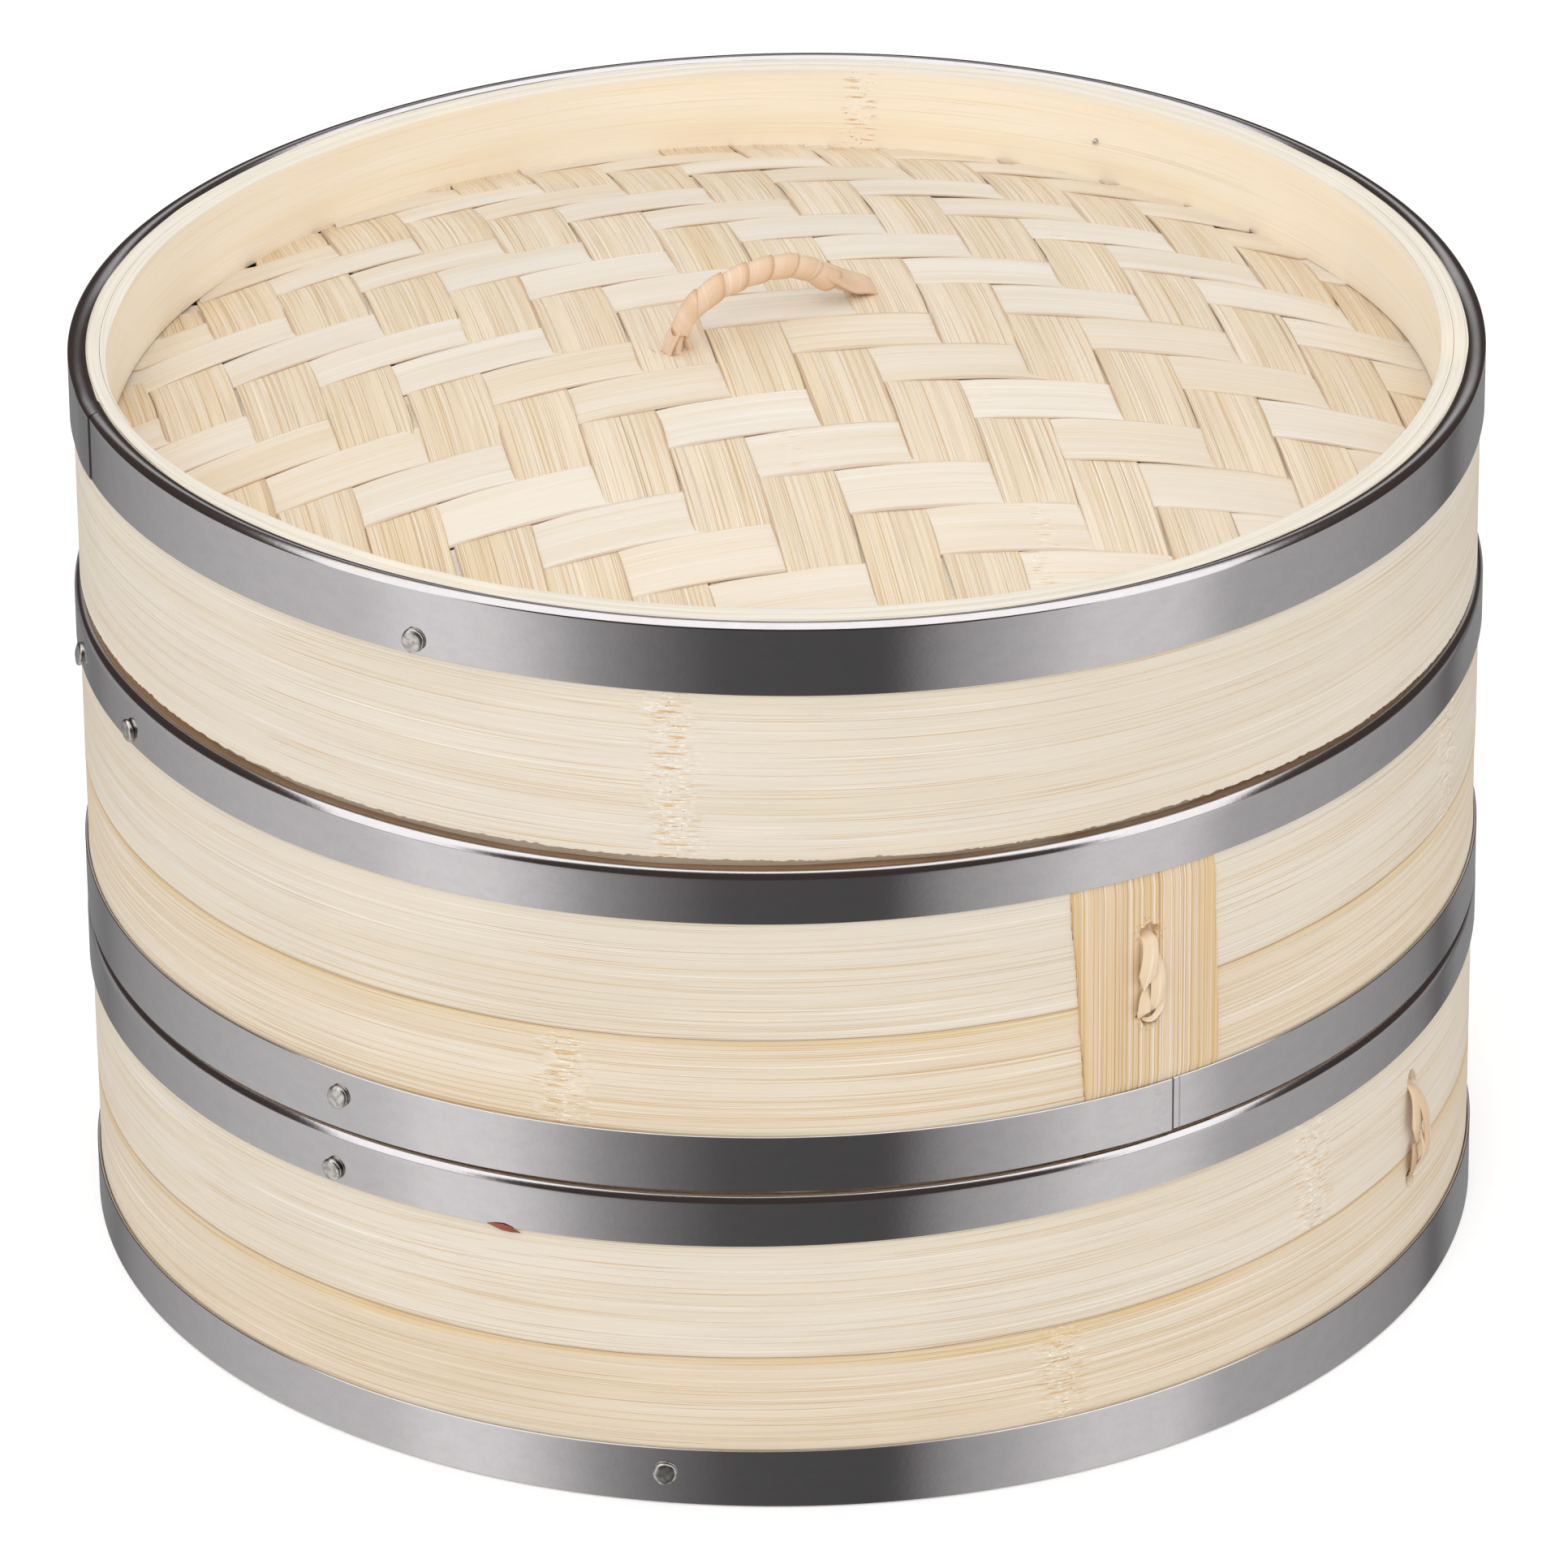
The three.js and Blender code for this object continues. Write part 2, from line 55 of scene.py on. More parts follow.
class Piece:
    """Closed bodies gathered into one mesh. Each corner of a face keeps its place in the grain of the wood or
    metal, in millimetres (along, across, outwards), and three marks that the finishes read. Each piece adds a
    number of its own to its grain, so that no two show the same wood."""

    def __init__(self):
        self.points, self.corners, self.sizes, self.grain, self.marks = [], [], [], [], []
        self.count = 0

    def add(self, points, grain, marks=(0, 0, 0), closed=False):
        """Lays faces over a grid of points whose rows are sections of a body. Each section closes on itself. The
        last row joins the first where the body is a whole ring, and has a flat end face where it isn't."""
        rows, columns = points.shape[:2]
        grain = np.broadcast_to(grain, (rows + closed, columns, 3))
        marks = np.broadcast_to(marks, (rows + closed, columns, 3))
        i, j = np.meshgrid(np.arange(rows - 1 + closed), np.arange(columns), indexing="ij")
        row = np.stack([i, i + 1, i + 1, i], -1).reshape(-1, 4)
        column = np.stack([j, j, (j + 1) % columns, (j + 1) % columns], -1).reshape(-1, 4)
        p = points[row % rows, column]
        volume = sum(
            np.einsum("ij,ij->", np.cross(p[:, k] - p[:, 0], p[:, k + 1] - p[:, 0]), p[:, 0]) for k in (1, 2)
        )
        faces = [(row, column)]
        if not closed:
            every = np.arange(columns)
            for at, order in ((0, every), (rows - 1, every[::-1])):
                end = points[at, order]
                fan = np.cross(end[1:-1] - end[0], end[2:] - end[0])
                volume += np.sum(fan @ end[0])
                faces.append((np.full((1, columns), at), order[None]))
        for row, column in faces:
            if volume < 0:
                row, column = row[:, ::-1], column[:, ::-1]
            self.corners.append((row % rows * columns + column).ravel() + self.count)
            self.sizes.append(np.full(len(row), row.shape[1]))
            self.grain.append(grain[row, column].reshape(-1, 3))
            self.marks.append(marks[row, column].reshape(-1, 3))
        self.points.append(points.reshape(-1, 3))
        self.count += rows * columns

    def make(self, name, body, finish, sharp=40, node=None):
        """Puts the gathered faces into a mesh in metres, whose edges stay crisp past the sharp angle. It takes the
        place of the solid of its own name, or of the node; of none where node is False."""
        mesh = bpy.data.meshes.new(name)
        points, corners, sizes = (np.concatenate(part) for part in (self.points, self.corners, self.sizes))
        mesh.vertices.add(len(points))
        mesh.vertices.foreach_set("co", (points * MM).ravel())
        mesh.loops.add(len(corners))
        mesh.loops.foreach_set("vertex_index", corners.astype(np.int32))
        mesh.polygons.add(len(sizes))
        mesh.polygons.foreach_set("loop_start", (np.cumsum(sizes) - sizes).astype(np.int32))
        mesh.update(calc_edges=True)
        for label, values in (("grain", self.grain), ("marks", self.marks)):
            layer = mesh.attributes.new(label, "FLOAT_VECTOR", "CORNER")
            layer.data.foreach_set("vector", np.concatenate(values).ravel().astype(np.float32))
        mesh.polygons.foreach_set("use_smooth", np.ones(len(sizes), bool))
        mesh.set_sharp_from_angle(angle=math.radians(sharp))
        mesh.materials.append(finish)
        made = bpy.data.objects.new(name, mesh)
        bpy.context.scene.collection.objects.link(made)
        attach(made, body)
        if node is not False:
            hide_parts(node or name)


def smooth(x, low=0.0, high=1.0):
    """0 up to low, 1 from high, and an easy slope between them."""
    t = np.clip((x - low) / (high - low), 0, 1)
    return t * t * (3 - 2 * t)


def wander(x, seed, size, slowest=2, fastest=30, fall=0.7):
    """An uneven line over an angle in degrees, the same at both ends of a turn: a sum of whole waves whose height
    falls with their number. Its standard deviation is size."""
    luck = np.random.default_rng(seed)
    number = np.unique(np.geomspace(slowest, fastest, 40).astype(int))
    height = luck.uniform(0.3, 1, number.size) / number**fall
    waves = np.sin(np.radians(x)[..., None] * number + luck.uniform(0, 2 * np.pi, number.size))
    return size * (waves @ height) / np.sqrt(np.sum(height**2) / 2)


def turned(angle, radius, height):
    """Points at an angle in degrees round the axis, a distance from it and a height."""
    a = np.radians(angle)
    return triples(radius * np.cos(a), radius * np.sin(a), height)


def outline(rows=1, columns=1, steps=2):
    """A rectangle with rounded corners as four lists: the side shares from -1 to 1 along each axis, to be taken
    times the half size less the rounding, and the direction of the rounding. Rows divide the sides along the
    second axis and columns those along the first; either may be the shares themselves."""
    up, flat = (np.linspace(-1, 1, n + 1)[1:-1] if np.isscalar(n) else np.asarray(n) for n in (rows, columns))
    x, y, c, s = [], [], [], []
    corners = ((1, -1), (1, 1), (-1, 1), (-1, -1))
    for k, (cx, cy) in enumerate(corners):
        t = np.radians(90 * (k - 1)) + np.linspace(0, np.pi / 2, steps + 1)
        side = (up, flat[::-1], up[::-1], flat)[k]
        x += [np.full(steps + 1, cx), np.full(len(side), cx) if k % 2 == 0 else side]
        y += [np.full(steps + 1, cy), side if k % 2 == 0 else np.full(len(side), cy)]
        c += [np.cos(t), np.full(len(side), round(math.cos(t[-1])))]
        s += [np.sin(t), np.full(len(side), round(math.sin(t[-1])))]
    return [np.concatenate(part).astype(float) for part in (x, y, c, s)]


def section(shape, low, high, bottom, top, bevel):
    """The rounded rectangle between two values along each axis, one row for each row of them."""
    x, y, c, s = shape
    low, high, bottom, top = (np.reshape(v, (-1, 1)) for v in (low, high, bottom, top))
    across = (low + high) / 2 + x * ((high - low) / 2 - bevel) + bevel * c
    upright = (bottom + top) / 2 + y * ((top - bottom) / 2 - bevel) + bevel * s
    return across, upright


def ring_angles(step, *fine):
    """Angles round a ring from the back, in degrees, closer together for each (middle, reach, step) in fine."""
    angle = np.arange(-270, 90, step)
    for middle, reach, close in fine:
        near = np.arange(middle - reach, middle + reach, close)
        angle = np.concatenate([angle[abs(angle - middle) > reach + close], near])
    return np.sort(angle)


def distance_along(path):
    """How far each point of a path lies along it."""
    return np.concatenate([[0], np.cumsum(np.linalg.norm(np.diff(path, axis=0), axis=1))])


def carried(path, across, wide, thick, bevel, crown):
    """A flat strip carried along a path: a rounded rectangle whose first axis is the given direction across the
    path and whose second is at right angles to both. crown lifts its middle."""
    way = np.gradient(path, axis=0)
    way /= np.linalg.norm(way, axis=1, keepdims=True)
    across = across - np.sum(across * way, 1, keepdims=True) * way
    across /= np.linalg.norm(across, axis=1, keepdims=True)
    out = np.cross(way, across)
    a, b = section(outline(1, 6, 1), -wide / 2, wide / 2, -thick / 2, thick / 2, bevel)
    b = b + crown * (1 - (2 * a / wide[:, None]) ** 2)
    points = path[:, None] + a[..., None] * across[:, None] + b[..., None] * out[:, None]
    return points, triples(distance_along(path)[:, None], a, b)


def curve(points, count):
    """A smooth line through points: each stretch is the cubic whose slopes are those between its neighbours."""
    p = np.asarray(points, float)
    at = distance_along(p)
    gap = np.linalg.norm(np.diff(p, axis=0), axis=1)
    slope = np.gradient(p, at, axis=0)
    t = np.linspace(0, at[-1], count)
    k = np.clip(np.searchsorted(at, t, side="right") - 1, 0, len(gap) - 1)
    h, u = gap[k][:, None], ((t - at[k]) / gap[k])[:, None]
    return (
        (1 + 2 * u) * (1 - u) ** 2 * p[k]
        + u * (1 - u) ** 2 * h * slope[k]
        + u * u * (3 - 2 * u) * p[k + 1]
        + u * u * (u - 1) * h * slope[k + 1]
    )


def add_fibre(piece, root, way, length, width, curl, marks=(0, 0, 0)):
    """A torn fibre: a three-sided taper along root + way * length * t + curl * t squared."""
    t = np.linspace(0, 1, 5)[:, None]
    path = root + way * length * t + curl * t * t
    side = np.cross(way, [0.31, 0.52, 0.79])
    side /= np.linalg.norm(side)
    other = np.cross(way, side)
    angle = np.radians([0, 120, 240])
    wide = (width / 2 * (1 - 0.9 * t))[..., None]
    points = path[:, None] + wide * (np.cos(angle)[:, None] * side + np.sin(angle)[:, None] * other)
    piece.add(points, triples(length * t, angle, 0.0), marks)


# ---------------------------------------------------------------- finishes


class Wire:
    """A socket of a finish. Arithmetic on wires and numbers adds the Math nodes that work it out."""

    def __init__(self, finish, socket):
        self.finish, self.socket = finish, socket

    def _with(self, operation, *values):
        return self.finish.node("Math", {"operation": operation}, dict(enumerate(values)))

    def __add__(self, other):
        return self._with("ADD", self, other)

    def __sub__(self, other):
        return self._with("SUBTRACT", self, other)

    def __rsub__(self, other):
        return self._with("SUBTRACT", other, self)

    def __mul__(self, other):
        return self._with("MULTIPLY", self, other)

    __radd__, __rmul__ = __add__, __mul__


def colour(hex_code):
    """The linear colour of a six-digit sRGB code."""
    part = np.array([int(hex_code[k : k + 2], 16) for k in (0, 2, 4)]) / 255
    return (*np.where(part <= 0.04045, part / 12.92, ((part + 0.055) / 1.055) ** 2.4), 1.0)


def grey(level):
    """A grey of a linear level."""
    return (level, level, level, 1.0)


class Finish:
    """A material and the nodes that feed its surface shader."""

    def __init__(self, name, **surface):
        self.material = bpy.data.materials.new(name)
        self.material.use_nodes = True
        self.tree = self.material.node_tree
        self.surface = self.tree.nodes["Principled BSDF"].inputs
        self.done(**surface)

    def node(self, kind, settings=None, values=None, output=0):
        """A node of a kind, with its settings first, where stops are a ramp's, then the values or wires of its
        sockets."""
        made = self.tree.nodes.new("ShaderNode" + kind)
        for key, value in (settings or {}).items():
            if key == "stops":
                while len(made.color_ramp.elements) < len(value):
                    made.color_ramp.elements.new(1)
                for stop, (position, tint) in zip(made.color_ramp.elements, value):
                    stop.position, stop.color = position, tint
            else:
                setattr(made, key, value)
        for key, value in (values or {}).items():
            self.feed(made.inputs[key], value)
        return Wire(self, made.outputs[output])

    def feed(self, socket, value):
        """Links a wire to a socket, or sets the socket's own value."""
        if isinstance(value, Wire):
            self.tree.links.new(value.socket, socket)
        else:
            socket.default_value = value

    def attribute(self, name):
        """A vector that the mesh carries for each corner."""
        return self.node("Attribute", {"attribute_name": name}, output="Vector")

    def ray(self, kind):
        """Whether, or how deep, the light's path is of a kind."""
        return self.node("LightPath", output=kind)

    def mark(self, number):
        """One of the three marks that the mesh carries."""
        return self.node("SeparateXYZ", {}, {0: self.attribute("marks")}, number)

    def noise(self, grain, density, shift, detail, rough=0.5):
        """Cloudy noise with a density along, across and outwards of the grain, in cells per mm. The shift makes it
        unlike the others."""
        values = {0: grain, 1: density, 2: (shift,) * 3}
        place = self.node("VectorMath", {"operation": "MULTIPLY_ADD"}, values)
        return self.node("TexNoise", {}, {"Vector": place, "Scale": 1.0, "Detail": detail, "Roughness": rough})

    def between(self, value, low, high, start=0.0, end=1.0):
        """A smooth step of a value between two limits."""
        values = {"Value": value, "From Min": low, "From Max": high, "To Min": start, "To Max": end}
        return self.node("MapRange", {"interpolation_type": "SMOOTHSTEP"}, values)

    def mix(self, share, one, other, blend="MIX"):
        """One colour with a share of another."""
        return self.node("Mix", {"data_type": "RGBA", "blend_type": blend}, {0: share, 6: one, 7: other}, 2)

    def bump(self, height, distance):
        """The normal of a surface that rises by a distance in millimetres for each unit of height."""
        return self.node("Bump", {}, {"Height": height, "Distance": distance * MM})

    def done(self, **surface):
        """Feeds the shader's sockets by their names and hands over the material."""
        for socket, value in surface.items():
            self.feed(self.surface[socket.replace("_", " ")], value)
        return self.material


def node_mark(f, grain, tint, height, gilded=True):
    """The scar of a bamboo joint, where mark 0 is set: pale flecks, short tan dashes along the grain and small brown
    pits. Mark 1 darkens the wood to a warm brown, mostly as painted shade in seams, creases, recesses and holes, and
    mark 2, where it is gilded, turns it yellow in close lines."""
    scar, dark, yellow = f.mark(0), f.mark(1), f.mark(2)
    dash = f.noise(grain, (0.2, 2.6, 2.6), 31, 2)
    fleck = f.noise(grain, (0.7, 3.0, 3.0), 8, 2)
    pit = f.noise(grain, (1.7, 2.4, 2.4), 47, 1)
    dashes = f.between(dash, 0.58, 0.65) * scar
    pits = f.between(pit, 0.69, 0.75) * f.between(scar, 0.6, 1.0)
    tint = f.mix(f.between(fleck, 0.56, 0.66) * scar * 0.7, tint, colour("F9F5ED"))
    tint = f.mix(dashes * 0.85, tint, colour("D3A76C"))
    tint = f.mix(pits * 0.8, tint, colour("8F6844"))
    if gilded:
        lines = f.between(f.noise(grain, (0.02, 2.6, 2.6), 5, 2), 0.4, 0.6)
        tint = f.mix(yellow * (lines * 0.7 + 0.3), tint, colour("DDBB7C"))
    # Mark 1: painted shade, a warm brown mixed in wherever a piece asks for shade
    tint = f.mix(dark, tint, colour("A37245"))
    return tint, height - dashes * 0.2 - pits * 0.5


def sanded_edge(f, grain, tint, height):
    """The joint's scars as on the other pieces, and where mark 2 is set the paler, greyer wood of a sanded edge."""
    tint, height = node_mark(f, grain, tint, height, False)
    streak = f.between(f.noise(grain, (0.02, 1.0, 2.2), 3, 2), 0.4, 0.6)
    return f.mix(f.mark(2), tint, f.mix(streak, colour("EDE5D8"), colour("E4DCCC"))), height


def bamboo(name, ground, lines, shade=0.03, gloss=0.55, relief=0.04, extra=node_mark):
    """Split bamboo: long fibre lines of several colours over a ground that varies slowly between two, with the same
    lines as relief. lines holds (colour, lines per mm, mm that they run, threshold, strength). The finest grain
    darkens the wood by shade and varies its roughness round gloss, and extra adds what the marks ask for."""
    f = Finish(name, IOR=1.45)
    grain = f.attribute("grain")
    cloud = f.noise(grain, (0.009, 0.16, 0.16), 4.7, 3)
    tint = f.mix(f.between(cloud, 0.3, 0.7), *map(colour, ground))
    height = 0.0
    for k, (line, density, run, threshold, strength) in enumerate(lines):
        field = f.noise(grain, (1 / run, density, density), 11.3 * (k + 1), 1.5, 0.55)
        mask = f.between(field, threshold, threshold + 0.09)
        tint = f.mix(mask * strength, tint, colour(line))
        height = mask * (0.5 if k % 2 else -0.5) + height
    fine = f.noise(grain, (0.08, 6.0, 6.0), 2.1, 2)
    slow = f.noise(grain, (0.02, 0.05, 0.05), 9.2, 2)
    for share, level in ((f.between(fine, 0.3, 0.7), 1 - shade), (f.between(slow, 0.35, 0.65), 0.965)):
        tint = f.mix(1.0, tint, f.mix(share, grey(level), grey(1.0)), "MULTIPLY")
    if extra:
        tint, height = extra(f, grain, tint, height)
    rough = f.between(fine, 0.2, 0.8, gloss + 0.08, gloss - 0.05)
    normal = f.bump(height + fine * 0.8, relief)
    return f.done(Base_Color=tint, Roughness=rough, Normal=normal)


WALL = bamboo(
    "bamboo_wall_split",
    ("E5DACA", "E2D5C0"),
    [("CFA569", 4.2, 60, 0.65, 0.75), ("F8F3EA", 4.4, 90, 0.58, 0.55), ("D3B384", 5.6, 110, 0.59, 0.7)],
)
LID_WALL = bamboo(
    "bamboo_lid_wall_split",
    ("E5DACA", "E2D5C0"),
    [("D2AA70", 4.2, 60, 0.65, 0.75), ("F8F3EA", 4.4, 90, 0.58, 0.55), ("D5B687", 5.6, 110, 0.595, 0.65)],
    extra=sanded_edge,
)
WALL_YELLOWER = bamboo(
    "bamboo_wall_lower_split",
    ("E5D8C4", "E1CFB5"),
    [("CA9B58", 3.8, 55, 0.635, 0.8), ("F7F0E3", 4.2, 80, 0.57, 0.65), ("D0A96F", 5.6, 110, 0.585, 0.7)],
)
HOOP = bamboo(
    "bamboo_inner_hoop",
    ("FAF0E0", "F8EAD2"),
    [("EBCFA0", 3.4, 60, 0.62, 0.45), ("FFFBF3", 3.0, 60, 0.60, 0.45), ("E2BF8A", 2.2, 90, 0.68, 0.4)],
    shade=0.02,
    relief=0.03,
    extra=sanded_edge,
)
SLAT = bamboo(
    "bamboo_slat_planed",
    ("F0E3CC", "E9D8B8"),
    [("D9B884", 1.6, 80, 0.60, 0.5), ("F9F1E0", 2.0, 80, 0.60, 0.5), ("CBA269", 3.5, 30, 0.66, 0.45)],
)
WEFT = bamboo(
    "bamboo_weft_smooth",
    ("EDE4D7", "E7DAC6"),
    [("DFC59C", 2.2, 80, 0.62, 0.4), ("F8F2E8", 2.6, 90, 0.57, 0.5), ("D9B988", 3.8, 50, 0.65, 0.35)],
    shade=0.02,
    gloss=0.5,
    relief=0.03,
)
WARP = bamboo(
    "bamboo_warp_fibrous",
    ("EEDFC9", "E7D3B4"),
    [
        ("CFA76C", 4.4, 90, 0.57, 0.6),
        ("FBF4E8", 5.0, 110, 0.55, 0.65),
        ("E2BE98", 3.4, 70, 0.61, 0.4),
        ("B4834C", 6.5, 60, 0.62, 0.7),
    ],
    gloss=0.6,
    relief=0.06,
)
PATCH = bamboo(
    "bamboo_joint_patch",
    ("E2CBB0", "DCBF92"),
    [("CDA25C", 2.9, 300, 0.55, 0.85), ("F1E4DA", 3.1, 260, 0.55, 0.85), ("B98A48", 4.6, 160, 0.59, 0.8)],
)
BARK = bamboo(
    "bamboo_bark_fleck",
    ("B0684C", "94503A"),
    [("7E3B28", 1.2, 6, 0.55, 0.7), ("CF8A66", 2.0, 8, 0.6, 0.6)],
    extra=None,
)
STITCH_STRIP = bamboo(
    "rattan_stitch_strip",
    ("ECD6B9", "E4C6A0"),
    [("FFF8EC", 1.2, 20, 0.56, 0.5), ("DDB98C", 2.6, 9, 0.64, 0.4)],
    gloss=0.45,
)
RATTAN = bamboo(
    "rattan_strip_skin",
    ("EACEB5", "E0BC9A"),
    [("F7E6D6", 0.9, 25, 0.60, 0.4), ("D9A97E", 2.2, 12, 0.65, 0.4)],
    gloss=0.42,
)


def steel_finish(name, tint, rough, mottle):
    """Thin steel strip: fine draw lines along it, small stains, and a slight unevenness that bends reflections.
    Mark 0 greys it as a weld does and mark 1 darkens it to a dark brown, as painted shade at the step where a band's
    end laps over itself."""
    f = Finish(name, Metallic=1.0)
    grain = f.attribute("grain")
    lines = f.noise(grain, (0.03, 7.0, 7.0), 0, 3)
    stain = f.noise(grain, (0.25, 0.4, 0.4), 7, 4, 0.6)
    wave = f.noise(grain, (0.05, 0.12, 0.12), 3, 1)
    weld, dark = f.mark(0), f.mark(1)
    blot = f.noise(grain, (1.1, 1.1, 1.1), 17, 3)
    base = f.mix(f.between(stain, 0.35, 0.7), *map(colour, tint[:2]))
    base = f.mix(f.between(blot, 0.45, 0.62) * mottle, base, colour(tint[2]))
    base = f.mix(weld * f.between(blot, 0.4, 0.6) * 0.6, base, colour("8E8782"))
    # Painted shade: mark 1 darkens the lap's step
    base = f.mix(dark, base, colour("3A2E28"))
    height = lines * 0.1 + wave * 0.7 + blot * (1.2 * mottle) - weld * blot * 0.5
    return f.done(
        Base_Color=base,
        Roughness=f.between(stain, 0.2, 0.8, rough - 0.01, rough + 0.015) + weld * 0.1,
        Normal=f.bump(height, 0.05),
    )


STEEL = steel_finish("steel_band_strip", ("CFCBCC", "CBC7C8", "C2BDBC"), 0.13, 0.1)
ZINC = steel_finish("zinc_nail_head", ("DAD7D3", "CFCBC6", "A8A29A"), 0.3, 0.8)


# ---------------------------------------------------------------- walls

WALL_RADIUS, WALL_THICK = 126.2, 3.3
LID_WALL_RADIUS, LID_WALL_THICK = 125.8, 2.9
STRIP_JOIN = 29.68, 29.73  # where the lower strip of a tier's wall ends and the upper one starts
WALL_TOP = 61.8
PATCH_AT = -60.1
HOOP_SCAR = 82.6  # where the lid's wall and hoops show a bamboo joint


def patch_edges(height):
    """How far the patch reaches to either side of its middle, along the wall. Its left edge leans inwards."""
    turn = height * 6.0
    left = np.interp(height, (76, 114), (-12.2, -15.0)) + wander(turn, 91, 0.07, 2, 20)
    return left, np.interp(height, (76, 95, 114), (15.1, 14.7, 13.8)) + wander(turn, 92, 0.07, 2, 20)


def wall_rows(low, high, pits):
    """Where a wall's section has points, as shares from -1 to 1 of its height: evenly, closer at the pits and along
    the edges."""
    heights = [z + np.linspace(-1.4, 1.4, 17) * radius for _, z, radius, _ in pits]
    heights.append(np.array([low + 0.4, low + 0.65, high - 0.4, high - 0.65, high - 1.4, high - 2.3]))
    close = [2 * (z - low) / (high - low) - 1 for z in heights]
    rows = np.concatenate([np.linspace(-1, 1, 18)[1:-1], *close])
    return np.unique(np.round(rows[abs(rows) < 0.985], 3))


def edge_marks(z, away, low, high, yellow, worn, sanded):
    """The marks that follow a strip's edges at a height: how dark, and how yellow or, where it is sanded, how pale.
    Both edges darken a little, partly the seam's own colour and partly painted shade in the seam. The yellow grows
    towards the top along a line that waves round the wall, and where asked the top is darkened as painted shade of the
    recess under the lid."""
    if sanded:
        return 0, smooth(z, high - 0.5, high - 0.1)
    half = (high - low) / 2
    # Painted shade, in part: both edges darken a little into the seams between strips
    dark = 0.3 * smooth(abs(z - (high + low) / 2), half - 0.4, half - 0.1)
    gold = yellow * (smooth(z, high - 3.2 + 1.4 * np.sin(away / 9), high - 0.4) + 0.05)
    # Painted shade: where asked, the top darkens as in the recess under the lid
    return np.maximum(dark, worn * smooth(z, high - 0.3, high - 0.05)), gold


def add_wall(
    piece, low, high, outer, thick, seed, free, scars=(), pits=(),
    slot=False, ragged=0.0, step=0.5, yellow=0.0, worn=0.0, sanded=False,
):  # fmt: skip
    """A bent bamboo strip as a ring: a rounded rectangle carried round the axis, whose edges wander, whose face
    swells at each scar of a bamboo joint inside the free heights, and is dented at each pit (angle, height, radius,
    depth) and, where it has the slot, between the patch's edges."""
    fine = [(angle, 3.0 * radius, 0.12) for angle, _, radius, _ in pits]
    if slot:
        fine += [(PATCH_AT + way * 6.4, 1.3, 0.07) for way in (-1, 1)]
    angle = ring_angles(step, *fine)
    shape = outline(wall_rows(low, high, pits), 3)
    uneven = wander(angle, seed, 0.09, 4, 60)
    bottom = low + (uneven if low else abs(uneven)) + ragged * abs(wander(angle, seed + 1, 1, 90, 480, 0.2))
    top = high + wander(angle, seed + 2, 0.09, 4, 60)
    r, z = section(shape, outer - thick, outer, bottom, top, 0.14)
    away = angle[:, None]
    face = np.maximum(shape[0] - 0.999, 0) * 1000
    inside = smooth(z, free[0], free[0] + 3) * (1 - smooth(z, free[1] - 3, free[1]))
    r = r - 0.06 + wander(angle, seed + 3, 0.05, 2, 9)[:, None] * inside
    scar = np.zeros_like(z)
    for at in scars:
        far = np.radians(away - at) * outer + 0.05 * (z - low) + wander(z * 9, seed + 5, 0.5, 2, 20)
        scar = np.maximum(scar, smooth(7.5 - abs(far), 0, 7))
        r = r + 0.22 * np.exp(-((far / 3.5) ** 2)) * inside
    for at, height, radius, depth in pits:
        u, v = np.radians(away - at) * outer, z - height
        around = np.arctan2(v, u)
        rim = radius * (1 + 0.13 * np.sin(3 * around + seed) + 0.09 * np.sin(7 * around + 2 * seed))
        near = np.hypot(u, v) / rim
        r = r - face * depth * smooth(1.08 - near, 0, 0.35) + face * 0.12 * np.exp(-(((near - 1.2) / 0.15) ** 2))
    if slot:
        u, (left, right) = np.radians(away - PATCH_AT) * WALL_RADIUS, patch_edges(z)
        r = r - face * 1.3 * smooth(u - left, 0.05, 0.3) * smooth(right - u, 0.05, 0.3)
    marks = triples(scar, *edge_marks(z, away, low, high, yellow, worn, sanded))
    grain = triples(np.radians(away) * outer, z, r)
    grain, marks = (np.concatenate([field, field[:1]]) for field in (grain, marks))
    grain[-1, :, 0] += 2 * np.pi * outer
    grain[..., 1] += seed * 37.0
    piece.add(turned(away, r, z), grain, marks, closed=True)


# The walls are not quite level. At each height, how far they rise: a mean, then shares of the cosine and sine of the
# angle and of twice the angle.
LEVELS = np.array([
    (0.0, 0, 0, 0, 0, 0), (11.3, 0.2, 1.4, 0, 0, 0), (52.35, 0.1, 2.75, 0, 0, 0), (63.0, -0.15, 1.7, 0, 0, 0),
    (74.3, -0.4, 0.55, 0, 0, 0), (115.35, -0.25, 0.55, 0, 0, 0), (126.0, -0.3, 0.4, 0, 0, 0), (LID, 0, -0.2, 0, 0, 0),
    (157.8, -0.35, -0.13, -0.4, -0.41, 0.99), (LID_TOP, -0.4, -0.13, -1.05, -0.41, 0.99),
])  # fmt: skip


def settle(piece, foot=None):
    """Raises each point by the sum of waves for its height. From a given foot the rise grows from nothing."""
    for points in piece.points:
        x, y, z = np.moveaxis(points, -1, 0)
        at = np.arctan2(y, x)
        waves = np.ones_like(at), np.cos(at), np.sin(at), np.cos(2 * at), np.sin(2 * at)
        rise = sum(np.interp(z, LEVELS[:, 0], LEVELS[:, k + 1]) * wave for k, wave in enumerate(waves))
        points[:, 2] += rise if foot is None else rise * np.clip((z - foot) / (LID_TOP - foot), 0, 1)


def wall_piece(name, body, finish, **strip):
    """One strip of a wall, settled."""
    piece = Piece()
    add_wall(piece, **strip)
    settle(piece)
    piece.make(name, body, finish)


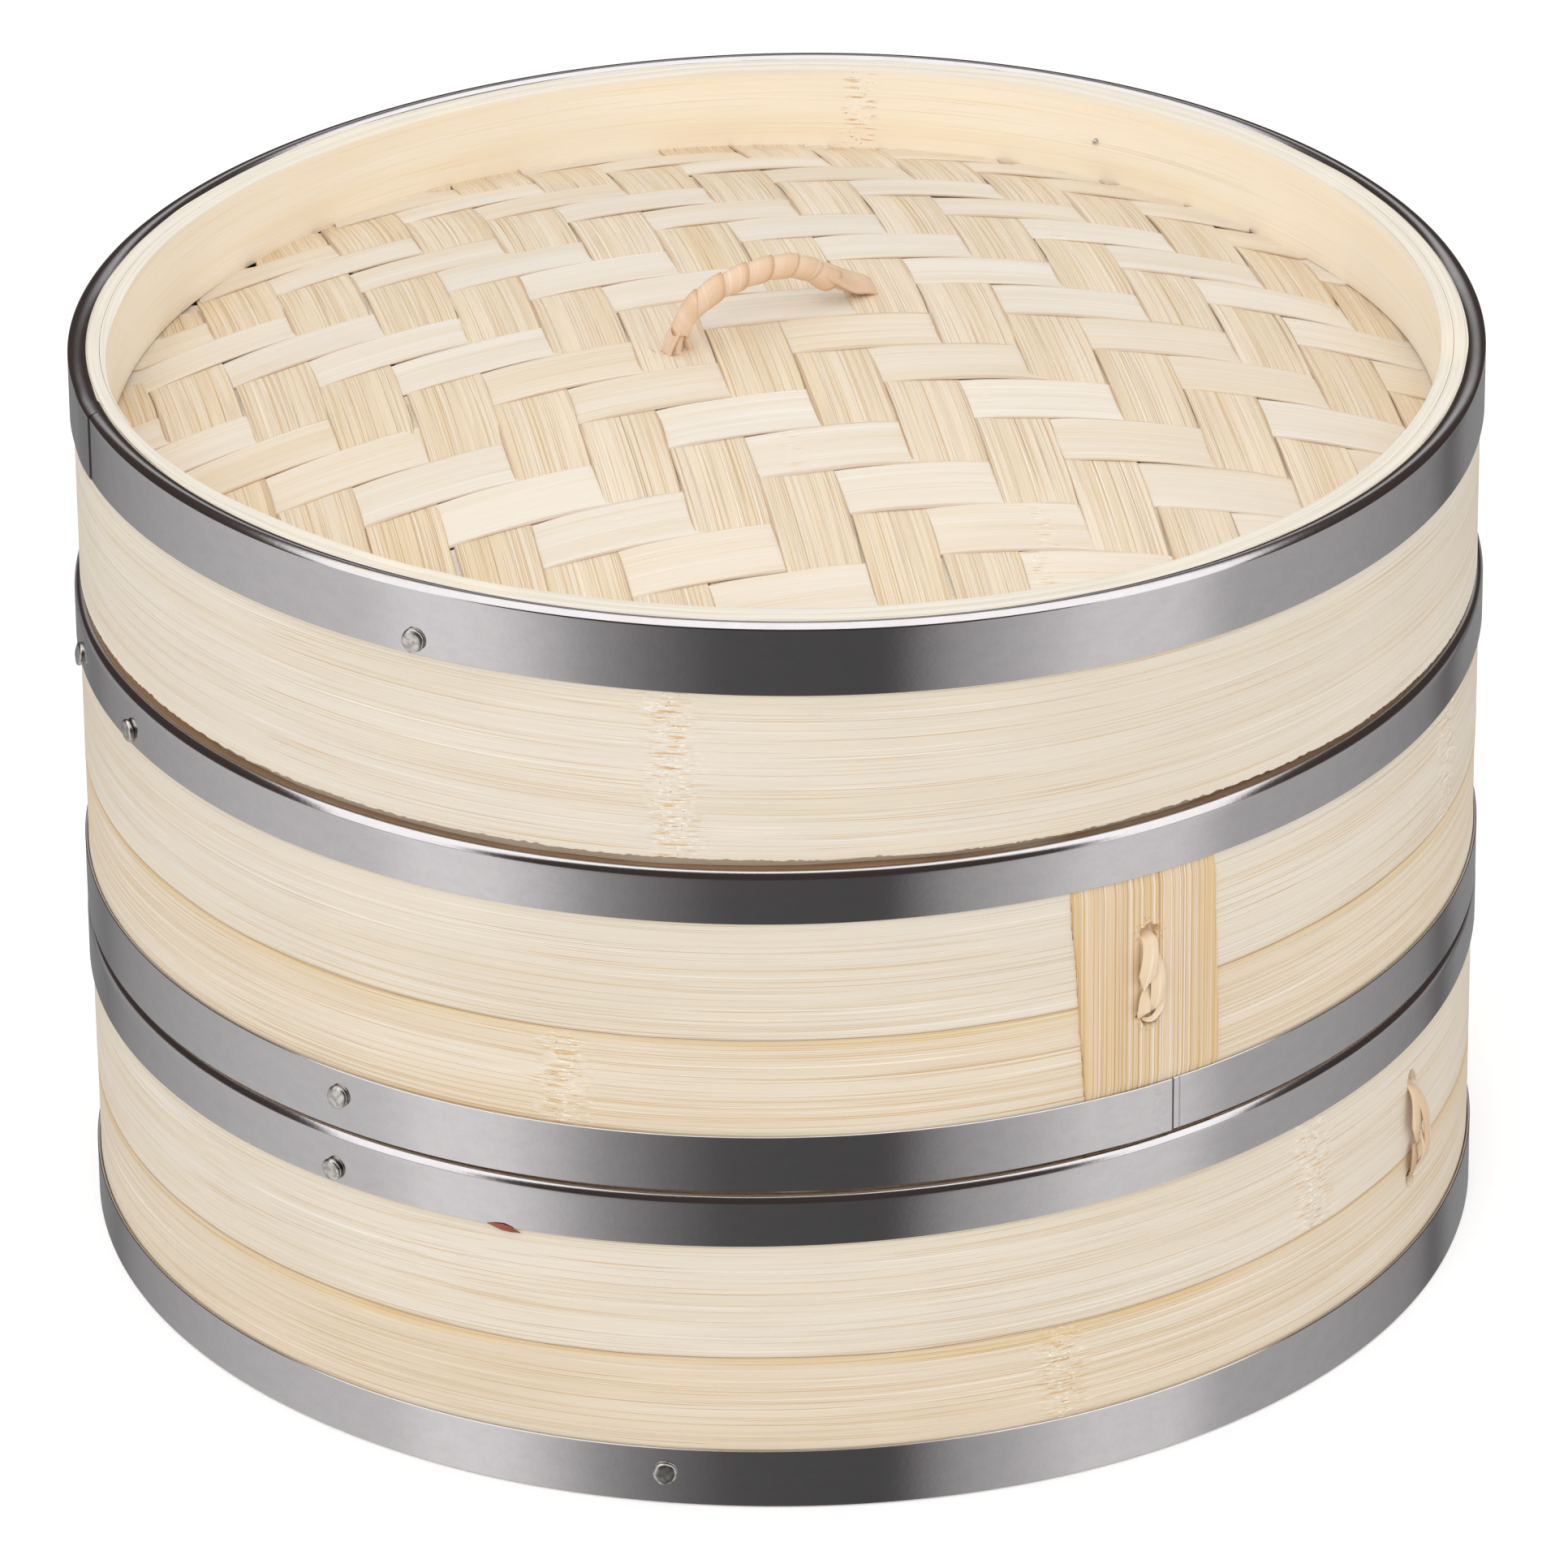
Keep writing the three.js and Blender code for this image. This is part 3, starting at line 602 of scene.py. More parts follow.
# Each stitch's angle and the heights over the tier's foot of its lower and upper hole.
STITCH = {"lower_tier": (-27.2, 25.0, 44.5), "upper_tier": (PATCH_AT, 25.2, 41.0)}
for tier, base in TIERS.items():
    upper = tier == "upper_tier"
    at, foot, head = STITCH[tier]
    wall_piece(
        tier + "_wall_strip_lower", tier, WALL_YELLOWER, low=base, high=base + STRIP_JOIN[0], outer=WALL_RADIUS,
        thick=WALL_THICK, seed=20 + upper, free=(base + 11, base + 29), scars=(-107,) if upper else (-67,),
        pits=((at, base + foot, 1.3, 2.6),), slot=upper, yellow=0.65,
    )  # fmt: skip
    # The upper tier's upper strip gets painted shade along its top, in the recess under the lid
    wall_piece(
        tier + "_wall_strip_upper", tier, WALL, low=base + STRIP_JOIN[1], high=base + WALL_TOP, outer=WALL_RADIUS,
        thick=WALL_THICK, seed=22 + upper, free=(base + 30, base + 52), scars=(-20,) if upper else (-42,),
        pits=((at, base + head, 1.5, 2.6),), slot=upper, worn=0.75 * upper,
    )  # fmt: skip
wall_piece(
    "lid_wall", "lid", LID_WALL, low=LID, high=LID + 43.2, outer=LID_WALL_RADIUS, thick=LID_WALL_THICK, seed=41,
    free=(LID + 2, LID + 31), scars=(-98, HOOP_SCAR), ragged=0.16, step=0.25, sanded=True,
)  # fmt: skip


def add_hoop(piece, low, high, outer, thick, start, seed, step, scarred, worn):
    """An inner hoop: one strip wound twice round, half the hoop's thickness each time. Over the 30 degrees where
    its ends lie they taper to a feather edge, and the second turn slips in under the first. Its top edge is sanded,
    except on the tiers' hoops, where painted shade makes the top of the outer face a little brown, as in the recess
    under the part that sits on it."""
    angle = start + np.arange(0, 720.01, step)
    turn = (angle - start) / 360
    half = thick / 2
    first, last = smooth(angle, start, start + 30), smooth(angle, start + 690, start + 720)
    under = smooth(angle, start + 360, start + 390)
    out = outer - half * under - 0.03 * turn
    inner = out - (half - 0.04) * np.maximum(0.12, first * (1 - last))
    inner = np.where(turn > 1, np.minimum(inner, out - 0.2), inner)
    bottom, top = low + wander(angle, seed, 0.06, 3, 40), high + wander(angle, seed + 1, 0.12, 3, 40)
    r, z = section(outline(10, 2), inner, out, bottom, top, 0.1)
    angle = angle[:, None]
    far = np.radians((angle + 180 - HOOP_SCAR) % 360 - 180) * outer + 0.06 * (z - low)
    scar = smooth(4.5 - abs(far), 0, 2.5) * scarred
    # Painted shade: a brown band at the top of the outer face, the shade of the recess under the part above
    dark = 0.26 * smooth(r, outer - 0.6, outer - 0.3) * smooth(z, high - 8, high - 6) * worn
    sanded = smooth(z, high - 0.4, high - 0.05) * (dark == 0)
    piece.add(turned(angle, r, z), triples(np.radians(angle) * outer, z + 57.0 * seed, r), triples(scar, dark, sanded))


# Each hoop's name, body, bottom, top, the angle where it starts, the step round it, and whether it shows a scar.
UPPER = TIERS["upper_tier"]
HOOPS = [
    ("lower_tier_inner_hoop_lower", "lower_tier", 4.3, 14.0, 150, 1.0, False),
    ("upper_tier_inner_hoop_lower", "upper_tier", UPPER + 4.3, UPPER + 14.0, 213, 0.5, True),
    ("lower_tier_inner_hoop_upper", "lower_tier", 17.1, 67.0, 40, 0.5, False),
    ("upper_tier_inner_hoop_upper", "upper_tier", UPPER + 17.1, UPPER + 67.0, 103, 0.5, False),
    ("lid_inner_hoop_lower", "lid", 130.3, 149.25, 10, 1.0, False),
    ("lid_inner_hoop_upper", "lid", 151.95, LID_TOP, 200, 0.5, True),
]
TIER_HOOP, LID_HOOP = (122.55, 4.2), (122.86, 4.4)  # outer radius and thickness
for k, (name, body, low, high, start, step, scarred) in enumerate(HOOPS):
    piece = Piece()
    on_lid = body == "lid"
    add_hoop(piece, low, high, *(LID_HOOP if on_lid else TIER_HOOP), start, 60 + k, step, scarred, not on_lid)
    if name == "lid_inner_hoop_upper":
        settle(piece, low)
    piece.make(name, body, HOOP)


# ---------------------------------------------------------------- steel bands and nails

BAND_LAP = 2.6  # degrees


def add_band(piece, profile, crest, inner, low, seam, seed, seam_shade):
    """A steel strip bent round the wall. Its ends overlap at the seam, where the outer one climbs its own
    thickness over four degrees. profile holds the section's distances out from inner and up from low. Inwards of
    the crest the strip is narrower at the front. A faint weld runs down the lap, and painted shade darkens the end
    that shows and a thin line just past it, by the amount given for the band."""
    end = seam + 360 + BAND_LAP
    steps = (0, 2.9, 0.25), (2.9, 3.5, 0.05), (3.6, 10, 0.25), (10, 350, 0.75), (350, 360 + BAND_LAP - 0.4, 0.2)
    angle = np.concatenate([*(seam + np.arange(*span) for span in steps), end - np.arange(0.35, -0.01, -0.05)])
    climb = 0.2 * smooth(angle, seam + 355.5, seam + 359.7)
    out, up = profile.T
    front = 0.8 * np.exp(-((((angle[:, None] - 90) % 360 - 180) / 24) ** 2))
    out = np.where(out < crest, crest + (out - crest) * (1 - front), out)
    r = inner + out + climb[:, None] + wander(angle, seed, 0.035, 2, 14)[:, None]
    z = low + up + wander(angle, seed + 1, 0.05, 2, 8)[:, None]
    near = np.radians(angle - seam - 360 - BAND_LAP / 2) * inner
    weld = 0.12 * smooth(1.9 - abs(near), 0, 0.6)
    # Painted shade: dark at the outer end's edge and in a thin line on the strip just past it, as the step's shade
    edge = smooth(-abs(end - angle), -0.22, -0.12) + 0.4 * smooth(-abs(seam + BAND_LAP + 0.6 - angle), -0.09, -0.04)
    grain = triples(np.radians(angle[:, None]) * inner, distance_along(profile) + 23.0 * seed, 0)
    piece.add(turned(angle[:, None], r, z), grain, triples(weld, seam_shade * edge, 0)[:, None])


BAND_THICK, BAND_EASE = 0.45, 0.12
OUTSIDE_ONLY = -9.0  # a crest that no part of a flat strip is inwards of


def flat_profile(height):
    """A strip with eased edges: a rounded rectangle."""
    out, up = section(outline(8, 1, 1), 0, BAND_THICK, 0, height, BAND_EASE)
    return np.stack([out[0], up[0]], -1), OUTSIDE_ONLY


def rimmed_profile(flat, tight):
    """A strip whose top edge is rolled over the wood, and how far out its crest is: its flat runs up into an arc of
    a tight radius as far as 45 degrees, then into one of the radius that brings its crest to flat + 2.6 and ends
    just over the wood, then comes back inside, under the roll and down the flat."""
    t = np.radians(np.linspace(0, 45, 7))
    foot = flat + 1.1 + (1.5 - tight) * 0.45
    corner = np.stack([BAND_THICK - tight + tight * np.cos(t), foot + tight * np.sin(t)], -1)
    broad = (flat + 2.6 - corner[-1, 1]) / (1 - math.sin(t[-1]))
    middle = corner[-1] - broad * math.sin(t[-1])
    t = np.radians(np.linspace(45, 180 - math.degrees(math.asin((flat + 2.1 - middle[1]) / broad)), 14))[1:]
    top = middle + broad * np.stack([np.cos(t), np.sin(t)], -1)
    outside = [(0.33, 0), (BAND_THICK, BAND_EASE), *((BAND_THICK, foot * k / 6) for k in range(1, 6))]
    inside = [
        (top[-1, 0] + 0.1, flat + 2.09), (-1.0, flat + 2.1), (-0.4, flat + 1.7),
        *((0.0, up) for up in (flat + 1.0, flat + 0.4, flat - 0.6, flat * 0.5, BAND_EASE)), (BAND_EASE, 0),
    ]  # fmt: skip
    return np.concatenate([outside, corner, top, inside]), middle[0]


# Each band's name, body, section, inner radius, bottom, the angle of its seam and how dark the painted shade at the
# seam is.
BANDS = [
    ("lower_tier_bottom_band", "lower_tier", flat_profile(11.0), 126.3, 0.3, 73.0, 0.3),
    ("lower_tier_top_band", "lower_tier", rimmed_profile(7.4, 2.1), 126.3, 52.35, 58.0, 0.3),
    ("upper_tier_bottom_band", "upper_tier", flat_profile(11.0), 126.3, 63.3, -60.3, 0.9),
    ("upper_tier_top_band", "upper_tier", rimmed_profile(7.4, 2.1), 126.3, 115.35, 32.0, 0.3),
    ("lid_rim_band", "lid", rimmed_profile(10.0, 0.5), 125.9, 157.8, -165.3, 0.3),
]
for k, (name, body, (profile, crest), inner, low, seam, seam_shade) in enumerate(BANDS):
    piece = Piece()
    add_band(piece, profile, crest, inner, low, seam, 80 + 3 * k, seam_shade)
    settle(piece)
    piece.make(name, body, STEEL, sharp=38)


def add_nail(piece, angle, height, face, seed):
    """A nail driven in towards the axis: its outline from the middle of the head, over its rolled edge and down
    the shank to the point, turned about its own axis, with the head a little dented and askew."""
    luck = np.random.default_rng(seed)
    rise = np.array([0.93, 0.95, 0.93, 0.88, 0.74, 0.5, 0.24, 0.04, 0, 0, -7.4, -8.6, -8.95])[:, None]
    wide = np.array([0.02, 0.8, 1.4, 1.78, 2.0, 2.1, 2.06, 1.9, 1.4, 0.72, 0.7, 0.42, 0.03])[:, None]
    around = np.linspace(0, 2 * np.pi, 28, endpoint=False)
    out, turn = turned(angle, 1, 0), turned(angle + 90, 1, 0)
    lean = luck.normal(0, 0.045, 2)
    shift = luck.uniform(0, 6, 4)
    flat = wide * (1 + 0.02 * np.sin(3 * around + shift[0]) + 0.015 * np.sin(5 * around + shift[1]))
    x, y = flat * np.cos(around), flat * np.sin(around)
    dent = 0.05 * np.sin(1.9 * x + shift[2]) * np.sin(2.3 * y + shift[3]) * (rise > 0.6)
    h = rise + (lean[0] * x + lean[1] * y) * (rise > -0.01) + dent
    points = out * (face + h)[..., None] + turn * x[..., None] + triples(0, 0, y + height)
    piece.add(points, triples(x, y, h) + luck.uniform(0, 90, 3))


# Each stem's body, height, the radius of the face that it is driven into, and its angles.
NAILS = {
    "lower_tier_top_nail": ("lower_tier", 54.95, 126.75, (-128.4, 52)),
    "lower_tier_bottom_nail": ("lower_tier", 6.4, 126.75, (-99.6, 80)),
    "upper_tier_top_nail": ("upper_tier", 117.95, 126.75, (-154.5, -169.2, 20)),
    "upper_tier_bottom_nail": ("upper_tier", 69.4, 126.75, (-127.6, 50)),
    "lid_nail": ("lid", 160.4, 126.35, (-119.3, 59.5)),
}
for stem, (body, height, face, angles) in NAILS.items():
    for k, angle in enumerate(angles):
        piece = Piece()
        add_nail(piece, angle, height, face, 7 * k + len(stem))
        settle(piece)
        name = f"{stem}_{k + 1}"
        piece.make(name, body, ZINC, sharp=50)


# ---------------------------------------------------------------- the tiers' floors

FLOOR_RADIUS = 121.95
SLATS, SLAT_PITCH, SLAT_WIDE, SLAT_BOTTOM, SLAT_THICK = 9, 26.3, 12.9, 14.3, 2.5
BARS, BAR_PITCH, BAR_WIDE, BAR_BOTTOM, BAR_THICK = 2, 110.0, 10.0, 11.0, 3.0


def add_slat(piece, middle, wide, bottom, thick, crosswise, seed):
    """A flat bamboo slat cut to the floor's circle: at a distance y from the axis it reaches sqrt(R * R - y * y)
    either way, and its faces bow and its edges wander a little. It has one bamboo joint."""
    s = np.sin(np.linspace(-np.pi / 2, np.pi / 2, 90))
    turn = np.degrees(np.arcsin(s)) * 2
    edge = wander(turn, seed, 0.12, 2, 24), wander(turn, seed + 1, 0.12, 2, 24)
    low, high = middle - wide / 2 + edge[0], middle + wide / 2 + edge[1]
    y, z = section(outline(2, 8), low, high, bottom, bottom + thick, 0.45)
    z = z + (0.05 * wander(turn, seed + 2, 1, 2, 7)[:, None]) * np.cos((y - middle) / wide * 2)
    x = s[:, None] * np.sqrt(FLOOR_RADIUS**2 - y**2)
    at = np.random.default_rng(seed).uniform(-95, 95)
    scar = smooth(3.2 - abs(x - at - 0.1 * (y - middle)), 0, 1.2)
    piece.add(triples(y, x, z) if crosswise else triples(x, y, z), triples(x, y + 31.0 * seed, z), triples(scar, 0, 0))


for tier, base in TIERS.items():
    for k in range(SLATS):
        piece = Piece()
        middle, seed = SLAT_PITCH * (k - (SLATS - 1) / 2), 100 + 10 * k + int(base)
        add_slat(piece, middle, SLAT_WIDE, base + SLAT_BOTTOM, SLAT_THICK, False, seed)
        piece.make(f"{tier}_slat_{k + 1}", tier, SLAT)
    for k in range(BARS):
        piece = Piece()
        add_slat(piece, BAR_PITCH * (k - 0.5), BAR_WIDE, base + BAR_BOTTOM, BAR_THICK, True, 200 + k + int(base))
        piece.make(f"{tier}_crossbar_{k + 1}", tier, SLAT)


# ---------------------------------------------------------------- the woven mat

MAT_MIDDLE = 150.9
DOME_RADIUS, DOME_RISE = 117.35, 21.8
MAT_REACH, MAT_EDGE = 121.4, 121.6  # the strips' middles and corners end inside these radii
BACK_REACH, BACK_RISE = 121, 2.0
WARP_STEP, WEFT_STEP = 13.575, 12.922
WARP_WAY = WARP_STEP * turned(11.607, 1, 0)[:2]
WEFT_WAY = WEFT_STEP * turned(90 + 10.52, 1, 0)[:2]
WARP_WIDE, WEFT_WIDE = 13.45, 12.8
WEAVE_CORNER = np.array([-61.888, 34.016])
WEAVE_LIFT, STRIP_THICK = 0.31, 0.5
SPLIT_WEFT = (-6, 6.6)  # which weft has split, and how far along it


def dome(x, y):
    """The height of the middle of the weave: a paraboloid inside the hoops, flat between them, and raised by the
    square of the distance towards the back, where the rim is higher too."""
    bowl = np.clip(1 - (x * x + y * y) / DOME_RADIUS**2, 0, None)
    return MAT_MIDDLE + DOME_RISE * bowl + BACK_RISE * np.clip(y / BACK_REACH, 0, 1) ** 2


def wave(x):
    """A woven strip's rise and fall: a sine squeezed so that it lies flat over and under and is steep between."""
    return np.tanh(1.6 * x) / math.tanh(1.6)


def add_weave_strip(piece, number, weft, seed):
    """A strip of the mat. It runs along one way of the lattice and, from its number and its place along it, goes
    over two and under two of the strips that cross it; the next strip is one step on. Its height is the dome's with
    the wave's, its edges cup upwards and it leans a little. Its ends are cut to the circle under the hoops, and the
    split weft opens along one edge."""
    luck = np.random.default_rng(seed)
    along_way, across_way = (WARP_WAY, WEFT_WAY) if weft else (WEFT_WAY, WARP_WAY)
    step_along, step_across = (WARP_STEP, WEFT_STEP) if weft else (WEFT_STEP, WARP_STEP)
    wide = (WEFT_WIDE if weft else WARP_WIDE) * luck.uniform(0.99, 1.015) / step_across
    middle = number + 0.5 + luck.normal(0, 0.016)
    root = WEAVE_CORNER + middle * across_way
    a, b, c = along_way @ along_way, 2 * along_way @ root, root @ root - MAT_REACH**2
    if b * b <= 4 * a * c:
        return
    half = math.sqrt(b * b - 4 * a * c) / (2 * a)
    ends = -b / (2 * a) - half, -b / (2 * a) + half
    count = max(24, int((ends[1] - ends[0]) * step_along / 0.9))
    t = np.linspace(*ends, count)
    turn = t * 9.0
    shape = outline(1, (-0.97, -0.9, -0.45, 0, 0.45, 0.9, 0.97), 1)
    left = middle - wide / 2 + wander(turn, seed + 1, 0.012, 2, 40)
    right = middle + wide / 2 + wander(turn, seed + 2, 0.012, 2, 40)
    v, h = section(shape, left * step_across, right * step_across, -STRIP_THICK / 2, STRIP_THICK / 2, 0.16)
    v = v / step_across
    plan = WEAVE_CORNER + v[..., None] * across_way + t[:, None, None] * along_way
    far = np.linalg.norm(plan, axis=-1)
    plan *= np.minimum(1, MAT_EDGE / far)[..., None]
    x, y = plan[..., 0], plan[..., 1]
    phase = (1 if weft else -1) * np.cos(np.pi * (t + number) / 2)
    rise = WEAVE_LIFT * wave(phase)
    inside = (v - middle) / wide
    cup = luck.uniform(0.02, 0.09) * (2 * abs(inside)) ** 2
    tilt = (-0.13 * inside if weft else luck.normal(0, 0.05) * inside) * (0.5 + 0.5 * phase)[:, None]
    z = dome(x, y) + h + rise[:, None] + cup + tilt + wander(turn, seed + 3, 0.03, 3, 30)[:, None]
    if weft and number == SPLIT_WEFT[0]:
        open_at = np.exp(-(((t[:, None] - SPLIT_WEFT[1]) / 0.8) ** 2))
        z = z + 0.25 * open_at * np.maximum(0, -2 * inside)
    grain = triples((t * step_along)[:, None], v * step_across + 83.0 * number, h + 19.0 * number)
    scar = 0
    if luck.uniform() < 0.75:
        at = luck.uniform(ends[0] + 2, ends[1] - 2)
        scar = smooth(2.4 - abs(t - at)[:, None] * step_along, 0, 1.5) * luck.uniform(0.3, 0.9)
    # Painted shade: mark 1 darkens the strips' edges to a warm brown, as the shade between touching strips, and a
    # little where a strip dips under
    rim = (0.3 if weft else 0.4) * smooth(abs(inside), 0.475, 0.49)
    shade = 0.04 * smooth(-rise, 0.1, 0.3)[:, None] + rim
    yellow = np.clip(luck.normal(0.08, 0.12), 0, 0.45)
    piece.add(triples(x, y, z), grain, triples(scar, shade, yellow))


for name, weft, finish in (("lid_mat_wefts", True, WEFT), ("lid_mat_warps", False, WARP)):
    piece = Piece()
    for number in range(-16, 22):
        add_weave_strip(piece, number, weft, (400 if weft else 500) + 5 * number)
    piece.make(name, "lid", finish, sharp=50, node="lid_woven_mat")


# ---------------------------------------------------------------- the ribs and the handle

HANDLE_ANGLE = 35.5
HANDLE_MIDDLE = np.array([-1.4, -4.8])
HANDLE_WAY = turned(HANDLE_ANGLE, 1, 0)[:2]
HANDLE_WIDTH = 41.0
RIB_OFFSET, RIB_TOP, RIB_WIDE, RIB_THICK, RIB_REACH = 21.0, 149.2, 7.9, 2.95, 121.9
RIB_WAY = np.array([-HANDLE_WAY[1], HANDLE_WAY[0]])


def add_rib(piece, side, seed):
    """A bamboo bow under the mat, whose top follows the dome at the rib's outer side, on a line beside the handle's
    middle, and which runs between the hoops at its ends."""
    offset = RIB_OFFSET * side + HANDLE_MIDDLE @ HANDLE_WAY
    reach = math.sqrt(RIB_REACH**2 - (abs(offset) + 4) ** 2)
    s = np.linspace(-reach, reach, 80)
    top = RIB_TOP + DOME_RISE * np.clip(1 - (s * s + (abs(offset) + 4.05) ** 2) / DOME_RADIUS**2, 0, None)
    v, z = section(outline(2, 4), offset - RIB_WIDE / 2, offset + RIB_WIDE / 2, top - RIB_THICK, top, 0.7)
    plan = v[..., None] * HANDLE_WAY + s[:, None, None] * RIB_WAY
    piece.add(np.concatenate([plan, z[..., None]], -1), triples(s[:, None], v + 71.0 * seed, z))


for k, side in enumerate((-1, 1)):
    piece = Piece()
    add_rib(piece, side, 3 + k)
    piece.make(f"lid_rib_{k + 1}", "lid", SLAT)

# The handle's line, from its left foot: how far along the way between its feet, and how high.
FOOT = np.array([-17.79, -16.49])
LOOP = np.array([
    (-0.5, 163.0), (-0.3, 168.0), (0.1, 172.4), (1.0, 175.7), (2.9, 178.5), (5.9, 180.7), (9.5, 182.0), (12.9, 182.5),
    (16.5, 182.85), (20.0, 182.8), (23.4, 182.4), (26.6, 181.5), (29.4, 180.1), (32.2, 177.9), (35.2, 175.9),
    (38.3, 174.2), (40.6, 172.7), (41.4, 168.5), (41.6, 163.0),
])  # fmt: skip
handle_line = curve(np.column_stack([FOOT + LOOP[:, :1] * HANDLE_WAY, LOOP[:, 1]]), 400)
handle_length = distance_along(handle_line)
handle_chord = np.maximum.accumulate((handle_line[:, :2] - FOOT) @ HANDLE_WAY)


def on_handle(distance):
    """The handle's centre line at a distance along it, with the directions out of its bend and to its side."""
    at, way = (
        np.stack([np.interp(distance, handle_length, part) for part in values.T], -1)
        for values in (handle_line, np.gradient(handle_line, axis=0))
    )
    way /= np.linalg.norm(way, axis=-1, keepdims=True)
    side = np.broadcast_to([*RIB_WAY, 0.0], way.shape)
    return at, np.cross(way, side), side


def add_core(piece):
    """The split rattan core: a round rod of radius 1 along the handle's line."""
    distance = np.linspace(0, handle_length[-1], 90)
    at, out, side = on_handle(distance)
    angle = np.linspace(0, 2 * np.pi, 14, endpoint=False)
    ring = np.cos(angle)[:, None] * out[:, None] + np.sin(angle)[:, None] * side[:, None]
    piece.add(at[:, None] + ring, triples(distance[:, None], angle, 0.0))


def add_binding(piece, start, end, turns, wide):
    """The flat rattan strip wound round the core as a helix: its middle moves evenly along the handle as it turns,
    nearly at one pace. Each turn lies on the edge of the one before it, so across the strip its distance from the
    core grows by its own thickness."""
    t = np.linspace(0, 1, int(turns * 30))
    eased = t + 0.012 * np.sin(2 * np.pi * 2 * t + 1)
    angle = 2 * np.pi * turns * eased - 2.2
    broad = wide * (1 - 0.45 * smooth(abs(t - 0.5), 0.46, 0.5))
    a, b = section(outline(1, 8, 2), -broad / 2, broad / 2, -0.19, 0.19, 0.15)
    share = a / wide
    distance = start + (end - start) * eased[:, None] + a
    at, out, side = on_handle(distance)
    radius = 1.5 + 0.54 * smooth(share, -0.5, 0.45) + 0.1 * (1 - (2 * share) ** 2) + b
    radius = radius * (1 + 0.03 * np.sin(2 * angle + 0.6))[:, None]
    ring = np.cos(angle)[:, None, None] * out + np.sin(angle)[:, None, None] * side
    # Painted shade: mark 1 darkens the strip's edges, and on top of each turn the edge that lies under the turn
    # before, in a dark crescent, as shade in the creases
    top = np.clip(np.cos(angle), 0, 1)[:, None] ** 3
    rim = 0.3 * smooth(abs(share), 0.42, 0.5) + 0.85 * smooth(-share, 0.36, 0.5) * top
    piece.add(at + ring * radius[..., None], triples((angle * 1.8)[:, None], a + 7, b), triples(0, rim, 0.1))


luck = np.random.default_rng(77)
core = Piece()
add_core(core)
core.make("lid_handle_core", "lid", RATTAN, sharp=60)
binding = Piece()
add_binding(binding, *np.interp((1.6, 33.0), handle_chord, handle_length), 6.6, 7.4)


def over(x, y, lift):
    """A point above the mat's top."""
    return np.array([x, y, dome(x, y) + 0.78 + lift])


def add_tail(piece, line, wide, thick=0.42, lean=0.0):
    """A flat end of the strip: a ribbon along a line of points, across the handle, its far edge raised by lean."""
    piece.add(*carried(curve(line, 40), np.array([*RIB_WAY, lean]), wide, thick, 0.12, 0.12), (0, 0.04, 0.1))


FAR_FOOT = FOOT + HANDLE_WIDTH * HANDLE_WAY
(x, y), share, near = FOOT, np.linspace(0, 1, 40), FAR_FOOT - 0.8 * RIB_WAY
taper = np.interp(share, [0, 0.25, 0.7, 1], [1.5, 2.7, 3.3, 3.2])
tongue = np.interp(share, [0, 0.12, 0.45, 0.8, 1], [1.2, 3.6, 4.9, 4.2, 2.6])
outer_tail = [
    over(x - 1.9, y - 1.4, -2.2), over(x - 1.5, y - 0.9, 0.4), (x - 0.6, y - 0.2, 175.0), (x + 1.2, y + 0.9, 178.2),
]  # fmt: skip
inner_tail = [
    over(x + 2.4, y + 0.6, -2.2), over(x + 1.9, y + 0.5, 0.5), (x + 1.5, y + 0.7, 174.6), (x + 2.4, y + 1.6, 177.4),
]  # fmt: skip
far_tail = [
    over(*(near + 2.6 * HANDLE_WAY), -1.2), over(*(near + 1.4 * HANDLE_WAY), 0.5),
    (*(near - 3.0 * HANDLE_WAY), 175.7), (*(near - 7.5 * HANDLE_WAY), 178.6), (*(FAR_FOOT - 10.5 * HANDLE_WAY), 180.6),
]  # fmt: skip
add_tail(binding, outer_tail, taper)
add_tail(binding, inner_tail, taper * 0.8)
add_tail(binding, far_tail, tongue, 0.8, 0.75)
HANDLE_FRAYS = 26
for k in range(HANDLE_FRAYS):
    foot = (FOOT + (-1.6, -1.2), FAR_FOOT + (0.9, 0.5))[k % 2]
    root = over(*(foot + luck.normal(0, 0.9, 2)), -0.5)
    way = np.array([*luck.normal(0, 1, 2), luck.uniform(0.05, 0.5)])
    way /= np.linalg.norm(way)
    length, curl = luck.uniform(1.2, 3.2), np.array([*luck.normal(0, 0.6, 2), -0.5])
    add_fibre(binding, root, way, length, 0.2, curl, (0, 0.5 * (k % 2 == 0), 0.1))
binding.make("lid_handle_binding", "lid", RATTAN, sharp=60)


# ---------------------------------------------------------------- the stitches and the patch


def on_wall(middle, along, height, lift):
    """Points on a wall, at a distance along it from an angle in degrees, a height, and a lift off its face."""
    return turned(middle + np.degrees(np.asarray(along) / WALL_RADIUS), WALL_RADIUS + np.asarray(lift), height)


def add_wall_strip(piece, middle, line, wide, thick, marks=(0, 0, 0)):
    """A flat strip laid on a wall along a line of (along, height, lift), with the given widths along it and a
    slightly raised middle."""
    path = curve(line, 60)
    wide = np.interp(np.linspace(0, 1, 60), np.linspace(0, 1, len(wide)), wide)
    tangent = np.gradient(path, axis=0)[:, :2]
    tangent /= np.linalg.norm(tangent, axis=1, keepdims=True)
    a, b = section(outline(1, 6, 1), -wide / 2, wide / 2, -thick / 2, thick / 2, min(0.14, thick * 0.4))
    b = b + 0.1 * (1 - (2 * a / wide[:, None]) ** 2)
    points = on_wall(middle, path[:, :1] + a * tangent[:, 1:], path[:, 1:2] - a * tangent[:, :1], path[:, 2:] + b)
    piece.add(points, triples(distance_along(path)[:, None], a + 13.0 * middle, b), marks)


